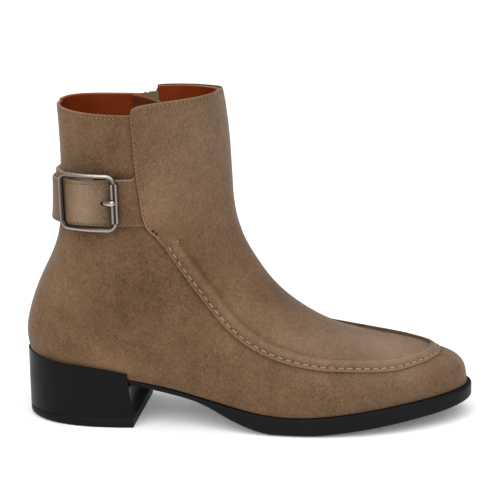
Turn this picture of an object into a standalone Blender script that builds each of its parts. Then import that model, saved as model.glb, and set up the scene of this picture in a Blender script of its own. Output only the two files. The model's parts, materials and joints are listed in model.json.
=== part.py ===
"""Suede ankle boot for the right foot, built as its maker would: an upper drawn over a last,
a front panel with a raised seam, a sole, a heel, a belt with its buckle and a zip.

Sizes are in millimetres in the boot's own frame (x from the heel to the toe, y to the inner
side, z up from the floor) and turn into metres where a mesh is made.  An empty named boot
carries every piece and moves the middle of the footprint to the origin.
"""
import bmesh
import bpy
import numpy as np
from mathutils import Matrix, Vector

MM = 0.001

# Driving sizes
WALL = 2.2              # suede and lining together
GAP = 0.35              # clearance where two pieces meet
PANEL_THICK = 1.3       # front panel
RIDGE_HIGH = 1.8        # raised seam above the panel
RIDGE_IN = 6.8          # from the panel's edge to the ridge's crest
RIDGE_TOE_IN = 4.8      # and at the toe
RIDGE_HALF = 2.6        # half the ridge's width
RIDGE_TOP = 1.1         # half the width of its rounded top
RIDGE_FADE = 0.9        # sections over which it rises out of the panel
BELT_THICK = 1.9
CHAPE_THICK = 1.9       # band under the belt that holds the buckle
CHAPE_WIDE = 29.0
INSOLE_THICK = 1.8
INSOLE_CLEAR = 0.9      # from the insole to the wall of the upper
SOLE_ROUND = 1.0        # rounding of the sole's top edge
SOLE_LOW = 2.0          # height at which the sole's side starts to roll under
SOLE_ROLL = 4.8         # and how far it rolls in
HEEL_OUT = 3.6          # foot of the heel past the feather edge
HEEL_MIDDLE = 40.0      # x of the heel's middle
HEEL_EASE = 1.6         # lift of the heel's lower edge at the back
EASE_LONG = 45.0        # x at which that lift has faded out
LIFT_HIGH = 6.0         # top lift under the heel
LIFT_EDGE = 0.8         # bevel round its underside
BREAST_TOP = 70.0       # front of the heel at its top
BREAST_FOOT = 72.8      # and at the floor
RIM_HIGH = 4.2          # heel cup above the feather edge
CUP_OUT = 3.1           # outside of the cup past the feather edge
CUP_RIM = 0.9           # thickness of the cup at its top
CUP_CLEAR = 0.5         # floor of the cup past the feather edge
BUCKLE_WIDE = 30.8      # along the shaft, from bar to bar
BUCKLE_HIGH = 31.0
BUCKLE_CORNER = 4.5
WIRE_RADIUS = 1.45
ROLLER_RADIUS = 2.3
ROLLER_LONG = 23.2
PRONG_RADIUS = 1.5
PRONG_UP = 0.2          # above the buckle's middle
PRONG_LONG = 7.4        # from the belt's hole to the roller
ZIP_WIDE = 8.0
ZIP_THICK = 1.4
SLIDER_WIDE = 8.0
SLIDER_HIGH = 11.0
SLIDER_THICK = 2.6
SLIDER_CLEAR = 0.5      # from the zip's chain to the back of the slider
EAR_CLEAR = 0.25        # from an ear to the pull's barrel
EAR_THICK = 1.3
EAR_HALF = 2.2          # half the ears' height
EAR_TIP = 2.0           # ears past the middle of the pin
EAR_ROOT = 0.6          # depth to which ears and pull run into what carries them
PIN_RADIUS = 0.8
PIN_OUT = 5.0           # from the back of the slider to its pin
PULL_LONG = 22.0
PULL_WIDE = 6.0
PULL_NECK = 4.2
PULL_THICK = 1.8
PULL_STEM = 6.5         # narrow part under the barrel
STEM_INSET = 0.4        # each side of the stem inside the barrel's ends
BARREL_WALL = 1.1       # barrel around the pin
PIN_CLEAR = 0.3         # between the pin and the barrel's bore

# Plan of the last along its feather edge: distance from the axis to the outer and inner edge
HEEL_BACK = (7.8, 0.0)
TOE_TIP = (268.6, 9.0)
PLAN_TABLE = np.array([
    # x,  outer, inner
    [13.0, 12.6, 12.6],
    [25.0, 22.2, 22.2],
    [46.0, 27.6, 27.4],
    [70.0, 28.2, 26.4],
    [85.0, 26.8, 22.6],
    [100.0, 27.2, 21.0],
    [120.0, 31.0, 22.8],
    [144.0, 36.8, 29.5],
    [168.0, 40.0, 36.5],
    [191.0, 39.3, 39.6],
    [214.0, 35.2, 39.0],
    [236.0, 26.5, 35.3],
    [253.0, 15.8, 29.0],
    [263.5, 5.0, 22.5],
])

# Sections of the upper, fanned from the toe up to the collar: the crest point on the front
# line, the low point on the sole's middle line or on the back seam, the half widths from the
# crest, how far down the section is widest, and how square it is
SECTION_TABLE = np.array([
    # crest x, y, z, low x, low z, outer, inner, widest, squareness
    [268.9, 9.0, 20.2, 268.5, 19.5, 0.8, 0.8, 0.60, 2.00],
    [268.4, 9.0, 25.4, 267.6, 19.4, 5.2, 5.2, 0.62, 2.20],
    [267.0, 9.0, 30.2, 265.2, 19.4, 10.6, 10.2, 0.64, 2.30],
    [263.4, 9.0, 34.3, 261.0, 19.3, 16.2, 14.6, 0.66, 2.40],
    [256.8, 8.9, 37.5, 254.0, 18.9, 23.8, 20.0, 0.68, 2.55],
    [246.0, 8.5, 39.8, 242.5, 18.0, 32.0, 25.2, 0.70, 2.60],
    [231.0, 7.6, 43.0, 226.0, 16.4, 39.2, 30.6, 0.72, 2.50],
    [213.0, 6.2, 46.9, 205.0, 14.0, 44.6, 34.6, 0.74, 2.42],
    [196.0, 4.6, 52.4, 182.0, 11.8, 46.0, 35.8, 0.74, 2.20],
    [179.0, 3.0, 60.6, 155.0, 12.0, 43.8, 33.6, 0.70, 2.05],
    [163.0, 1.8, 71.8, 127.0, 16.6, 39.6, 31.6, 0.66, 2.00],
    [151.3, 1.0, 84.0, 98.0, 22.8, 36.4, 31.0, 0.60, 2.00],
    [143.6, 0.6, 95.4, 70.0, 29.0, 34.8, 31.6, 0.56, 2.05],
    [138.0, 0.3, 105.4, 44.0, 33.2, 34.4, 32.4, 0.53, 2.10],
    [134.2, 0.1, 115.2, 24.0, 34.4, 34.6, 33.2, 0.52, 2.15],
    [131.8, 0.0, 124.3, 12.6, 34.8, 35.0, 33.8, 0.52, 2.20],
    [130.7, 0.0, 132.8, 7.8, 36.2, 35.2, 34.2, 0.52, 2.20],
    [130.3, 0.0, 141.2, 4.2, 49.0, 35.4, 34.6, 0.51, 2.20],
    [130.0, 0.0, 149.6, 6.2, 64.0, 35.6, 35.0, 0.51, 2.25],
    [129.6, 0.0, 159.0, 14.6, 86.0, 36.0, 35.6, 0.50, 2.30],
    [129.0, 0.0, 169.0, 26.2, 110.0, 36.6, 36.2, 0.50, 2.35],
    [128.0, 0.0, 180.0, 30.4, 138.0, 37.4, 37.2, 0.50, 2.40],
    [126.7, 0.0, 190.4, 31.2, 166.0, 38.2, 38.2, 0.50, 2.40],
    [125.0, 0.0, 201.0, 30.7, 193.0, 39.0, 39.0, 0.50, 2.40],
    [124.1, 0.0, 208.0, 30.3, 202.0, 39.4, 39.4, 0.50, 2.40],
])
HEEL_SECTION = 16       # the section that ends at the back of the heel
CHART_SECTION = 11      # the first section that the chart of the shaft reads
TOE_SECTION = 4.0       # up to here the upper's columns are evenly spaced
GATHER = 8.0            # sections over which they draw together at the panel's corners
RIM_SECTION = 22.7      # a section near the collar
SHAFT_SECTION = 18.5    # above it the rows lean to follow the collar

# Edge of the front panel, from the collar's corner to the toe: distance from the crest along
# the section on the outer and on the inner side
PANEL_TABLE = np.array([
    # section, outer, inner
    [22.60, 68.0, 66.4],
    [21.70, 69.6, 67.8],
    [20.85, 71.2, 69.0],
    [19.60, 71.6, 69.0],
    [18.50, 69.6, 66.6],
    [17.60, 64.0, 60.0],
    [16.00, 56.4, 51.6],
    [14.25, 50.6, 45.0],
    [12.40, 47.6, 40.2],
    [10.70, 48.2, 36.4],
    [9.05, 47.0, 31.6],
    [7.60, 43.2, 27.4],
    [6.50, 38.2, 24.3],
    [5.40, 26.6, 19.4],
    [4.75, 16.0, 13.6],
    [4.42, 8.0, 7.0],
    [4.34, 0.0, 0.0],
])
PANEL_FAN = 5.6         # section where the panel's middle line ends behind the toe
RIDGE_START = 16.9      # section where the raised seam starts below the belt
RIDGE_SHIFT = (8.0, 12.0)   # sections between which it draws nearer to the edge

# Collar heights
PANEL_CORNER = (81.0, 189.4)    # x and height at the panel's back corner
PANEL_FRONT = (126.4, 198.0)    # x and height at the front
INNER_RIM_ENDS = (191.5, 195.9)     # the panel's rim on the inner side, at its corner and in front
RIM_BEND = 0.25                 # power that rounds the rim at its outer corner
INNER_RIM_BEND = 0.1            # and at its inner corner
INNER_RIM_RISE = 10             # power with which the inner rim rises to the front
QUARTER_LOW = (80.0, 188.8)     # the quarters' rim at the panel
QUARTER_BACK = (30.2, 192.1)    # the quarters' rim at the back seam

# Sole along its length: top edge, underside, and how far it stands out past the upper
SOLE_TABLE = np.array([
    # x, top, underside, welt
    [4.0, 34.6, 30.6, 0.0],
    [24.0, 34.3, 30.3, 0.0],
    [46.0, 33.0, 29.0, 0.0],
    [66.0, 29.9, 25.9, 0.1],
    [74.0, 28.2, 24.3, 0.8],
    [85.0, 25.6, 21.7, 1.2],
    [98.0, 22.6, 18.7, 1.3],
    [112.0, 19.4, 15.2, 1.5],
    [120.0, 17.7, 12.0, 1.6],
    [129.0, 15.9, 7.7, 1.8],
    [138.0, 14.3, 4.1, 1.9],
    [148.0, 12.8, 1.2, 2.0],
    [156.0, 11.9, 0.0, 2.0],
    [168.0, 11.3, 0.0, 2.0],
    [180.0, 11.6, 0.0, 2.0],
    [191.0, 12.5, 0.8, 2.1],
    [214.0, 15.0, 3.4, 2.3],
    [236.0, 17.3, 6.1, 2.5],
    [254.0, 18.8, 8.2, 2.8],
    [272.0, 19.8, 10.4, 3.2],
])

# Belt around the ankle: girth from the back seam (outer side negative), height of its middle,
# its width, and how far it stands off the shaft
BELT_TABLE = np.array([
    # girth, middle, wide, stand-off
    [-78.0, 138.4, 27.4, 0.35],
    [-66.0, 138.4, 27.2, 0.35],
    [-58.0, 138.4, 27.0, 1.20],
    [-50.0, 138.4, 27.0, 2.60],
    [-30.0, 137.4, 26.4, 2.90],
    [-12.0, 136.4, 25.4, 3.10],
    [0.0, 136.0, 25.0, 3.20],
    [20.0, 136.2, 25.0, 2.90],
    [45.0, 136.8, 25.0, 2.60],
    [66.0, 137.2, 25.0, 2.60],
])
CHAPE_START = -48.0     # the band under the belt starts below the buckle
CHAPE_RISE = 2.6        # and at the back its middle lies above the belt's
CHAPE_TAPER = 30.0      # girth over which it gets there
BELT_BLEND = 12.0       # girth over which the belt's end turns along the panel's edge
BUCKLE_MIDDLE = -45.8   # girth at the buckle's middle
BUCKLE_UP = 0.8         # by which it sits above the belt's middle
ZIP_TOP = (77.0, 187.0)     # x and height of the zip's ends
ZIP_FOOT = (80.5, 66.0)
SLIDER_HEIGHT = 176.0

SUEDE = (0.205, 0.138, 0.080)
SUEDE_PANEL = (0.200, 0.145, 0.086)
BELT_SUEDE = (0.290, 0.205, 0.125)
BLACK = (0.018, 0.020, 0.022)
LINING = (0.195, 0.030, 0.008)
METAL = (0.33, 0.29, 0.27)


def spline(knots, values, at):
    """Natural cubic spline through rows of values at the knots, read at the places asked for."""
    count = len(knots)
    step = np.diff(knots)
    slope = np.diff(values, axis=0) / step[:, None]
    bend = np.zeros_like(values)
    inner = np.diag(2.0 * (step[:-1] + step[1:]))
    inner += np.diag(step[1:-1], 1) + np.diag(step[1:-1], -1)
    bend[1:-1] = np.linalg.solve(inner, 6.0 * np.diff(slope, axis=0))
    place = np.clip(np.searchsorted(knots, at, side="right") - 1, 0, count - 2)
    run = (at - knots[place])[:, None]
    long = step[place][:, None]
    first, last = bend[place], bend[place + 1]
    rate = slope[place] - long * (2.0 * first + last) / 6.0
    return values[place] + run * rate + run ** 2 * first / 2.0 + run ** 3 * (last - first) / (6.0 * long)


def along(points, power=1.0):
    """Distance along a row of points, each step raised to a power, starting at zero."""
    steps = np.linalg.norm(np.diff(points, axis=0), axis=1) ** power
    return np.concatenate([[0.0], np.cumsum(steps)])


def smooth_step(value):
    """Soft ramp from 0 to 1 as the value goes from 0 to 1."""
    value = np.clip(value, 0.0, 1.0)
    return value * value * (3.0 - 2.0 * value)


def plan_halves(count=1200):
    """Outer and inner feather edge of the last in plan, each from the heel's back to the toe tip."""
    outer = PLAN_TABLE[:, [0, 1]] * (1.0, -1.0)
    inner = PLAN_TABLE[::-1, [0, 2]]
    loop = np.vstack([[HEEL_BACK], outer, [TOE_TIP], inner])
    lap = 5
    wrapped = np.vstack([loop[-lap:], loop, loop[:lap + 1]])
    place = along(wrapped, 0.75)
    ends = place[lap], place[lap + len(outer) + 1], place[lap + len(loop)]
    first = spline(place, wrapped, np.linspace(ends[0], ends[1], count))
    second = spline(place, wrapped, np.linspace(ends[1], ends[2], count))[::-1]
    return first, second


def section_ribs(sections, count):
    """Half sections of the upper as points [section, column, xyz], outer side first, with the
    columns evenly spaced along each half from the feather edge over the crest to the other edge.

    Above its widest place a half section is a quarter of a superellipse.  Below, the quarter is
    cut off where it reaches the feather edge, and in the shaft it closes at the back seam.
    """
    crest = SECTION_TABLE[:, [0, 2]]
    low = SECTION_TABLE[:, [3, 4]]
    steps = np.linalg.norm(np.diff(crest, axis=0), axis=1) + np.linalg.norm(np.diff(low, axis=0), axis=1)
    place = np.concatenate([[0.0], np.cumsum(steps ** 0.8)])
    at = np.interp(sections, np.arange(len(place)), place)
    row = spline(place, SECTION_TABLE, at)
    crest_x, crest_y, crest_z, low_x, low_z, outer, inner, widest, square = row.T[:, :, None]
    turn = np.linspace(0.0, np.pi / 2.0, 160)
    halves = []
    for side, half_width, edge in ((-1.0, outer, plan_halves()[0]), (1.0, inner, plan_halves()[1])):
        foot = side * (np.interp(low_x, edge[:, 0], edge[:, 1]) - crest_y)
        foot = np.where(sections[:, None] < HEEL_SECTION, np.maximum(foot, 0.0), 0.0)
        wide = np.maximum(half_width, foot + 0.05)
        power = 2.0 / square
        reach = (1.0 - (foot / wide) ** square) ** (1.0 / square)
        lower_turn = np.arcsin(reach ** (square / 2.0)) * np.linspace(0.0, 1.0, 160)
        upper_down = widest * (1.0 - np.cos(turn) ** power)
        lower_down = widest + (1.0 - widest) * np.sin(lower_turn) ** power / reach
        down = np.hstack([upper_down, lower_down[:, 1:]])
        out = np.hstack([wide * np.sin(turn) ** power, (wide * np.cos(lower_turn) ** power)[:, 1:]])
        points = np.stack([
            crest_x + down * (low_x - crest_x),
            crest_y + side * out,
            crest_z + down * (low_z - crest_z),
        ], axis=-1)
        halves.append(np.array([even_points(rib, count) for rib in points]))
    return np.concatenate([halves[0][:, ::-1], halves[1][:, 1:]], axis=1)


def even_points(points, count):
    """The same path with the points evenly spaced."""
    place = along(points)
    at = np.linspace(0.0, place[-1], count)
    return np.column_stack([np.interp(at, place, axis) for axis in points.T])


def grid_normals(grid):
    """Outward unit normals of a grid of points [section, column, xyz]."""
    ahead = np.gradient(grid, axis=0)
    across = np.gradient(grid, axis=1)
    normal = np.cross(across, ahead)
    size = np.linalg.norm(normal, axis=-1, keepdims=True)
    return np.where(size > 1e-9, normal / np.maximum(size, 1e-9), (1.0, 0.0, 0.0))


def look_up(grid, row, column):
    """Read a grid between its points; row and column count in grid steps."""
    row = np.clip(row, 0.0, grid.shape[0] - 1.001)
    column = np.clip(column, 0.0, grid.shape[1] - 1.001)
    top = row.astype(int)
    left = column.astype(int)
    down = (row - top)[..., None]
    over = (column - left)[..., None]
    upper = grid[top, left] * (1.0 - over) + grid[top, left + 1] * over
    lower = grid[top + 1, left] * (1.0 - over) + grid[top + 1, left + 1] * over
    return upper * (1.0 - down) + lower * down


class Last:
    """The upper's outside as a surface, read by section and reach or by girth and height."""

    STEPS = 16              # grid rows in one section
    COLUMNS = 121           # grid columns in one half
    LOW, HIGH = 60, 188     # heights that the chart of the shaft covers
    GIRTH = 110             # girth on each side of the back seam in that chart

    def __init__(self):
        last = len(SECTION_TABLE) - 1
        self.sections = np.linspace(0.0, last, last * self.STEPS + 1)
        self.grid = section_ribs(self.sections, self.COLUMNS)
        self.normals = grid_normals(self.grid)
        seam = self.sections >= HEEL_SECTION
        for column in (0, -1):
            self.normals[seam, column, 1] = 0.0
        self.normals /= np.linalg.norm(self.normals, axis=-1, keepdims=True)
        middle = self.COLUMNS - 1
        self.half_outer = np.linalg.norm(np.diff(self.grid[:, :middle + 1], axis=1), axis=2).sum(axis=1)
        self.half_inner = np.linalg.norm(np.diff(self.grid[:, middle:], axis=1), axis=2).sum(axis=1)
        self.chart, self.chart_normals = self.shaft_chart()

    def at(self, section, across, lift=0.0):
        """Points at a section and across it: -1 outer edge, 0 crest, 1 inner edge."""
        section, across = np.broadcast_arrays(section, across)
        row = section * self.STEPS
        column = (across + 1.0) * (self.COLUMNS - 1)
        normal = look_up(self.normals, row, column)
        normal /= np.linalg.norm(normal, axis=-1, keepdims=True)
        return look_up(self.grid, row, column) + normal * np.asarray(lift)[..., None]

    def across(self, section, reach):
        """Turn a distance from the crest along a section into its place across."""
        outer = np.interp(section, self.sections, self.half_outer)
        inner = np.interp(section, self.sections, self.half_inner)
        return reach / np.where(reach < 0.0, outer, inner)

    def section_at_height(self, across, height):
        """Section at which a column of the shaft reaches a height."""
        shaft = self.sections >= CHART_SECTION
        columns = (across + 1.0) * (self.COLUMNS - 1)
        rows = self.sections[shaft] * self.STEPS
        found = [
            np.interp(level, look_up(self.grid, rows, np.full_like(rows, column))[:, 2], self.sections[shaft])
            for column, level in zip(columns, height)
        ]
        return np.array(found)

    def shaft_chart(self):
        """Points of the shaft and their normals on a grid of whole heights and whole girths."""
        columns = np.linspace(0.0, 0.9, 220)
        girths = np.arange(-self.GIRTH, self.GIRTH + 1)
        rings = []
        for height in range(self.LOW, self.HIGH + 1):
            ring = []
            for side in (-1.0, 1.0):
                across = side * (1.0 - columns)
                section = self.section_at_height(across, np.full(len(across), float(height)))
                path = self.at(section, across)
                ring.append((along(path), path))
            (outer_run, outer), (inner_run, inner) = ring
            outer_part = [np.interp(-girths[girths <= 0], outer_run, axis) for axis in outer.T]
            inner_part = [np.interp(girths[girths > 0], inner_run, axis) for axis in inner.T]
            rings.append(np.hstack([outer_part, inner_part]).T)
        chart = np.array(rings)
        return chart, -grid_normals(chart)

    def on_shaft(self, girth, height, lift=0.0):
        """Points of the shaft at a girth from the back seam and a height."""
        girth, height = np.broadcast_arrays(girth, height)
        row = height - self.LOW
        column = girth + self.GIRTH
        normal = look_up(self.chart_normals, row, column)
        normal /= np.linalg.norm(normal, axis=-1, keepdims=True)
        return look_up(self.chart, row, column) + normal * np.asarray(lift)[..., None]

    def girth_at(self, x, height, side):
        """Girth at which the shaft has the given x, for each height: side -1 outer, 1 inner."""
        girths = side * np.arange(0.0, self.GIRTH + 1)
        found = []
        for place, level in zip(x, height):
            ring = self.on_shaft(girths, np.full(len(girths), level))
            found.append(np.interp(place, ring[:, 0], girths))
        return np.array(found)


LAST = Last()


def panel_rim(x, across):
    """Height of the front panel's top edge: a power curve, flatter on the inner side behind the front."""
    share = np.clip((x - PANEL_CORNER[0]) / (PANEL_FRONT[0] - PANEL_CORNER[0]), 0.0, 1.0)
    outer = PANEL_CORNER[1] + (PANEL_FRONT[1] - PANEL_CORNER[1]) * share ** RIM_BEND
    corner, front = INNER_RIM_ENDS
    rise = (PANEL_FRONT[1] - front) * share ** INNER_RIM_RISE
    inner = corner + (front - corner) * share ** INNER_RIM_BEND + rise
    return np.where(across > 0.0, inner, outer)


def quarter_rim(x):
    """Height of the quarters' top edge, dipping from the back seam to the panel."""
    share = np.clip((QUARTER_LOW[0] - x) / (QUARTER_LOW[0] - QUARTER_BACK[0]), 0.0, 1.0)
    return QUARTER_LOW[1] + (QUARTER_BACK[1] - QUARTER_LOW[1]) * share ** 2


def panel_edge(count):
    """Section, outer reach and inner reach along the panel's edge, from the collar to the toe."""
    scale = (8.0, 1.0, 1.0)
    place = along(PANEL_TABLE * scale)
    path = spline(place, PANEL_TABLE * scale, np.linspace(0.0, place[-1], 400))
    return np.maximum(even_points(path, count) / scale, 0.0)


def sole_at(x):
    """Top edge, underside and welt of the sole at x."""
    return spline(SOLE_TABLE[:, 0], SOLE_TABLE[:, 1:], np.asarray(x, float)).T


def new_material(name, colour, roughness, metallic=0.0):
    """Principled material of one colour."""
    material = bpy.data.materials.new(name)
    material.use_nodes = True
    shader = material.node_tree.nodes["Principled BSDF"]
    shader.inputs["Base Color"].default_value = (*colour, 1.0)
    shader.inputs["Roughness"].default_value = roughness
    shader.inputs["Metallic"].default_value = metallic
    return material


def new_piece(name, points, faces, material, root):
    """Mesh object from points in millimetres, with seams merged and faces turned outward."""
    mesh = bpy.data.meshes.new(name)
    mesh.from_pydata((np.asarray(points).reshape(-1, 3) * MM).tolist(), [], faces)
    work = bmesh.new()
    work.from_mesh(mesh)
    bmesh.ops.remove_doubles(work, verts=work.verts, dist=1e-6)
    bmesh.ops.recalc_face_normals(work, faces=work.faces)
    work.to_mesh(mesh)
    work.free()
    mesh.materials.append(material)
    mesh.shade_smooth()
    mesh.set_sharp_from_angle(angle=np.radians(40.0))
    piece = bpy.data.objects.new(name, mesh)
    bpy.context.collection.objects.link(piece)
    piece.parent = root
    return piece


def grid_faces(rows, columns, start=0, flip=False):
    """Quads of a grid whose points are numbered row by row."""
    faces = []
    for row in range(rows - 1):
        for column in range(columns - 1):
            corner = start + row * columns + column
            face = (corner, corner + 1, corner + columns + 1, corner + columns)
            faces.append(face[::-1] if flip else face)
    return faces


def strip_faces(first, second):
    """Quads between two rows of point numbers."""
    return [
        (first[i], first[i + 1], second[i + 1], second[i])
        for i in range(len(first) - 1)
    ]


def sheet_solid(name, outside, inside, material, root, open_sides=("start", "end", "low", "high")):
    """Solid between two matching grids, walled along the sides that stay open."""
    rows, columns = outside.shape[:2]
    total = rows * columns
    number = np.arange(total).reshape(rows, columns)
    sides = {
        "start": number[0],
        "end": number[-1],
        "low": number[:, 0],
        "high": number[:, -1],
    }
    faces = grid_faces(rows, columns) + grid_faces(rows, columns, total, True)
    for side in open_sides:
        faces += strip_faces(list(sides[side]), list(sides[side] + total))
    points = np.concatenate([outside.reshape(-1, 3), inside.reshape(-1, 3)])
    return new_piece(name, points, faces, material, root)


def stacked_solid(name, rings, material, root):
    """Solid from rings that share one outline's order: half from back to front, half back again.

    Side walls join each ring to the next, and strips across close the first and the last ring.
    """
    count = len(rings[0])
    half = count // 2
    faces = []
    for level in range(len(rings) - 1):
        lower = [level * count + i % count for i in range(count + 1)]
        upper = [i + count for i in lower]
        faces += strip_faces(lower, upper)
    for level in (0, len(rings) - 1):
        start = level * count
        near = [start + i for i in range(half)]
        far = [start + count - 1 - i for i in range(half)]
        faces += strip_faces(near, far)
    return new_piece(name, np.concatenate(rings), faces, material, root)


def plan_ring(count, margin):
    """Plan outline with a margin: the outer half from back to front, then the inner half back."""
    halves = []
    for side, edge in zip((-1.0, 1.0), plan_halves()):
        run = along(edge)
        at = run[-1] * (1.0 - np.cos(np.linspace(0.0, np.pi, count))) / 2.0
        point = np.column_stack([np.interp(at, run, axis) for axis in edge.T])
        ahead = np.column_stack([np.interp(at, run, axis) for axis in np.gradient(edge, axis=0).T])
        ahead /= np.linalg.norm(ahead, axis=1, keepdims=True)
        aside = side * np.column_stack([-ahead[:, 1], ahead[:, 0]])
        amount = margin(point[:, 0]) if callable(margin) else margin
        halves.append(point + aside * np.reshape(amount, (-1, 1)))
    outer, inner = halves
    for end in (0, -1):
        outer[end] = inner[end] = (outer[end] + inner[end]) / 2.0
    return np.vstack([outer, inner[::-1]])


def raised(ring, height):
    """Plan ring set at a height, which may follow x."""
    return np.column_stack([ring, height(ring[:, 0]) if callable(height) else np.full(len(ring), height)])


def make_upper(material, root):
    """Quarters, vamp and lining as one wall, open at the collar and underneath."""
    edge_section, outer_reach, inner_reach = PANEL_TABLE[0]
    outer_corner = -LAST.across(edge_section, -outer_reach)
    inner_corner = LAST.across(edge_section, inner_reach)
    step = 0.003
    columns = np.concatenate([
        np.linspace(-1.0, -outer_corner - step, 10),
        np.linspace(-outer_corner + step, 0.0, 9),
        np.linspace(0.0, inner_corner - step, 9)[1:],
        np.linspace(inner_corner + step, 1.0, 10),
    ])
    rim_x = LAST.at(np.full(len(columns), RIM_SECTION), columns)[:, 0]
    in_panel = (columns > -outer_corner) & (columns < inner_corner)
    rim = np.where(in_panel, panel_rim(rim_x, columns) - GAP, quarter_rim(rim_x))
    top = LAST.section_at_height(columns, rim)
    rows = np.concatenate([[0.0, 0.5], np.arange(1.0, 4.0, 0.5), np.linspace(4.0, SHAFT_SECTION, 21),
                           SHAFT_SECTION + np.linspace(0.0, 1.0, 8)[1:]])
    lean = np.clip(rows - SHAFT_SECTION, 0.0, 1.0)[:, None]
    section = np.minimum(rows, SHAFT_SECTION)[:, None] + lean * (top - SHAFT_SECTION)[None, :]
    even = np.linspace(-1.0, 1.0, len(columns))
    gather = smooth_step((section - TOE_SECTION) / GATHER)
    grid = LAST.at(section, even + gather * (columns - even))
    piece = new_piece("upper", grid, grid_faces(*grid.shape[:2]), material, root)
    wall = piece.modifiers.new("wall", "SOLIDIFY")
    wall.thickness = WALL * MM
    wall.offset = -1.0
    wall.use_even_offset = True
    return piece


def ridge_in(section):
    """Distance from the panel's edge to the crest of the raised seam, less at the toe."""
    start, end = RIDGE_SHIFT
    return RIDGE_TOE_IN + (RIDGE_IN - RIDGE_TOE_IN) * smooth_step((section - start) / (end - start))


def panel_grid(places, ridge_rows):
    """Section, across and depth from the edge for each point of the front panel.

    Rows follow the edge from the outer collar corner round the toe to the inner corner, and
    columns run from the edge over the ridge, at the given distances from its crest, to the
    middle line.
    """
    section, outer, inner = panel_edge(places).T
    share = np.linspace(0.0, 1.0, places)
    middle = np.maximum(section, PANEL_FAN + (section - PANEL_TABLE[-1, 0]) * 0.6)
    fade = np.clip(1.0 - share / 0.25, 0.0, 1.0)[:, None]
    rows = []
    for reach in (-outer, inner):
        across = LAST.across(section, reach)
        fine = np.linspace(0.0, 1.0, 60)
        fine_section = section[:, None] + (middle - section)[:, None] * fine
        fine_across = across[:, None] * (1.0 - fine)
        rim_x = LAST.at(np.full(60, RIM_SECTION), fine_across[0])[:, 0]
        rim_section = LAST.section_at_height(fine_across[0], panel_rim(rim_x, fine_across[0]))
        fine_section = fine_section + fade * (rim_section - fine_section[0])[None, :]
        path = LAST.at(fine_section, fine_across)
        half = []
        for line, line_section, line_across in zip(path, fine_section, fine_across):
            run = along(line)
            ridge = ridge_in(line_section[0]) + ridge_rows
            depth = np.concatenate([[0.0], ridge, np.linspace(ridge[-1], run[-1], 10)[1:]])
            half.append(np.column_stack([
                np.interp(depth, run, line_section),
                np.interp(depth, run, line_across),
                depth,
            ]))
        rows.append(np.array(half))
    return np.concatenate([rows[0], rows[1][-2::-1]])


def panel_lift(section, depth):
    """Height of the panel's outside above the upper: a flange, a raised seam and a flat field."""
    strength = smooth_step((RIDGE_START - section) / RIDGE_FADE)
    hump = np.clip(1.0 - np.abs(depth - ridge_in(section)) / RIDGE_HALF, 0.0, 1.0)
    return GAP + PANEL_THICK + RIDGE_HIGH * strength * smooth_step(hump)


def make_front_panel(material, root):
    """Front panel from the collar to the toe with its raised seam, lying on the upper."""
    ridge_rows = np.array([-RIDGE_HALF, -RIDGE_TOP, 0.0, RIDGE_TOP, RIDGE_HALF])
    chart = panel_grid(25, ridge_rows)
    section, across, depth = np.moveaxis(chart, -1, 0)
    outside = LAST.at(section, across, panel_lift(section, depth))
    inside = LAST.at(section, across, np.full(section.shape, GAP))
    return sheet_solid("front_panel", outside, inside, material, root, ("start", "end", "low"))


def make_outsole(material, root):
    """Sole with a thin waist, a thick forefoot, toe spring and a seat inside the heel's cup."""
    def welt(x):
        return sole_at(x)[2]

    def top(x):
        return sole_at(x)[0] - GAP

    def underside(x):
        return np.maximum(sole_at(x)[1], 0.0)

    count = 34
    rings = [
        raised(plan_ring(count, lambda x: welt(x) - SOLE_ROUND), top),
        raised(plan_ring(count, welt), lambda x: top(x) - SOLE_ROUND),
        raised(plan_ring(count, welt), lambda x: underside(x) + SOLE_LOW),
        raised(plan_ring(count, lambda x: welt(x) - SOLE_ROLL), underside),
    ]
    return stacked_solid("outsole", rings, material, root)


def make_insole(material, root):
    """Insole on the sole, just inside the wall of the upper."""
    ring = plan_ring(28, -WALL - INSOLE_CLEAR)
    rings = [
        raised(ring, lambda x: sole_at(x)[0]),
        raised(ring, lambda x: sole_at(x)[0] + INSOLE_THICK),
    ]
    return stacked_solid("insole", rings, material, root)


def heel_line(count, margin, front):
    """Plan of the heel from its outer front corner round the back to the inner one."""
    fine = 400
    ring = plan_ring(fine, margin)
    halves = []
    for half in (ring[:fine], ring[fine:][::-1]):
        corner = [front, np.interp(front, half[:, 0], half[:, 1])]
        halves.append(np.vstack([half[half[:, 0] <= front], corner]))
    outer, inner = halves
    return even_points(np.vstack([outer[::-1], inner[1:]]), count)


def square_breast(line, front):
    """Make the heel's inner side as wide at its front as the outer side."""
    wide = np.abs(line[0, 1])
    grow = np.clip(line[:, 0] / front, 0.0, 1.0)
    inner = np.where(line[:, 1] > 0.0, line[:, 1] * (1.0 + grow * (wide / line[-1, 1] - 1.0)), line[:, 1])
    return np.column_stack([line[:, 0], inner])


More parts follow.
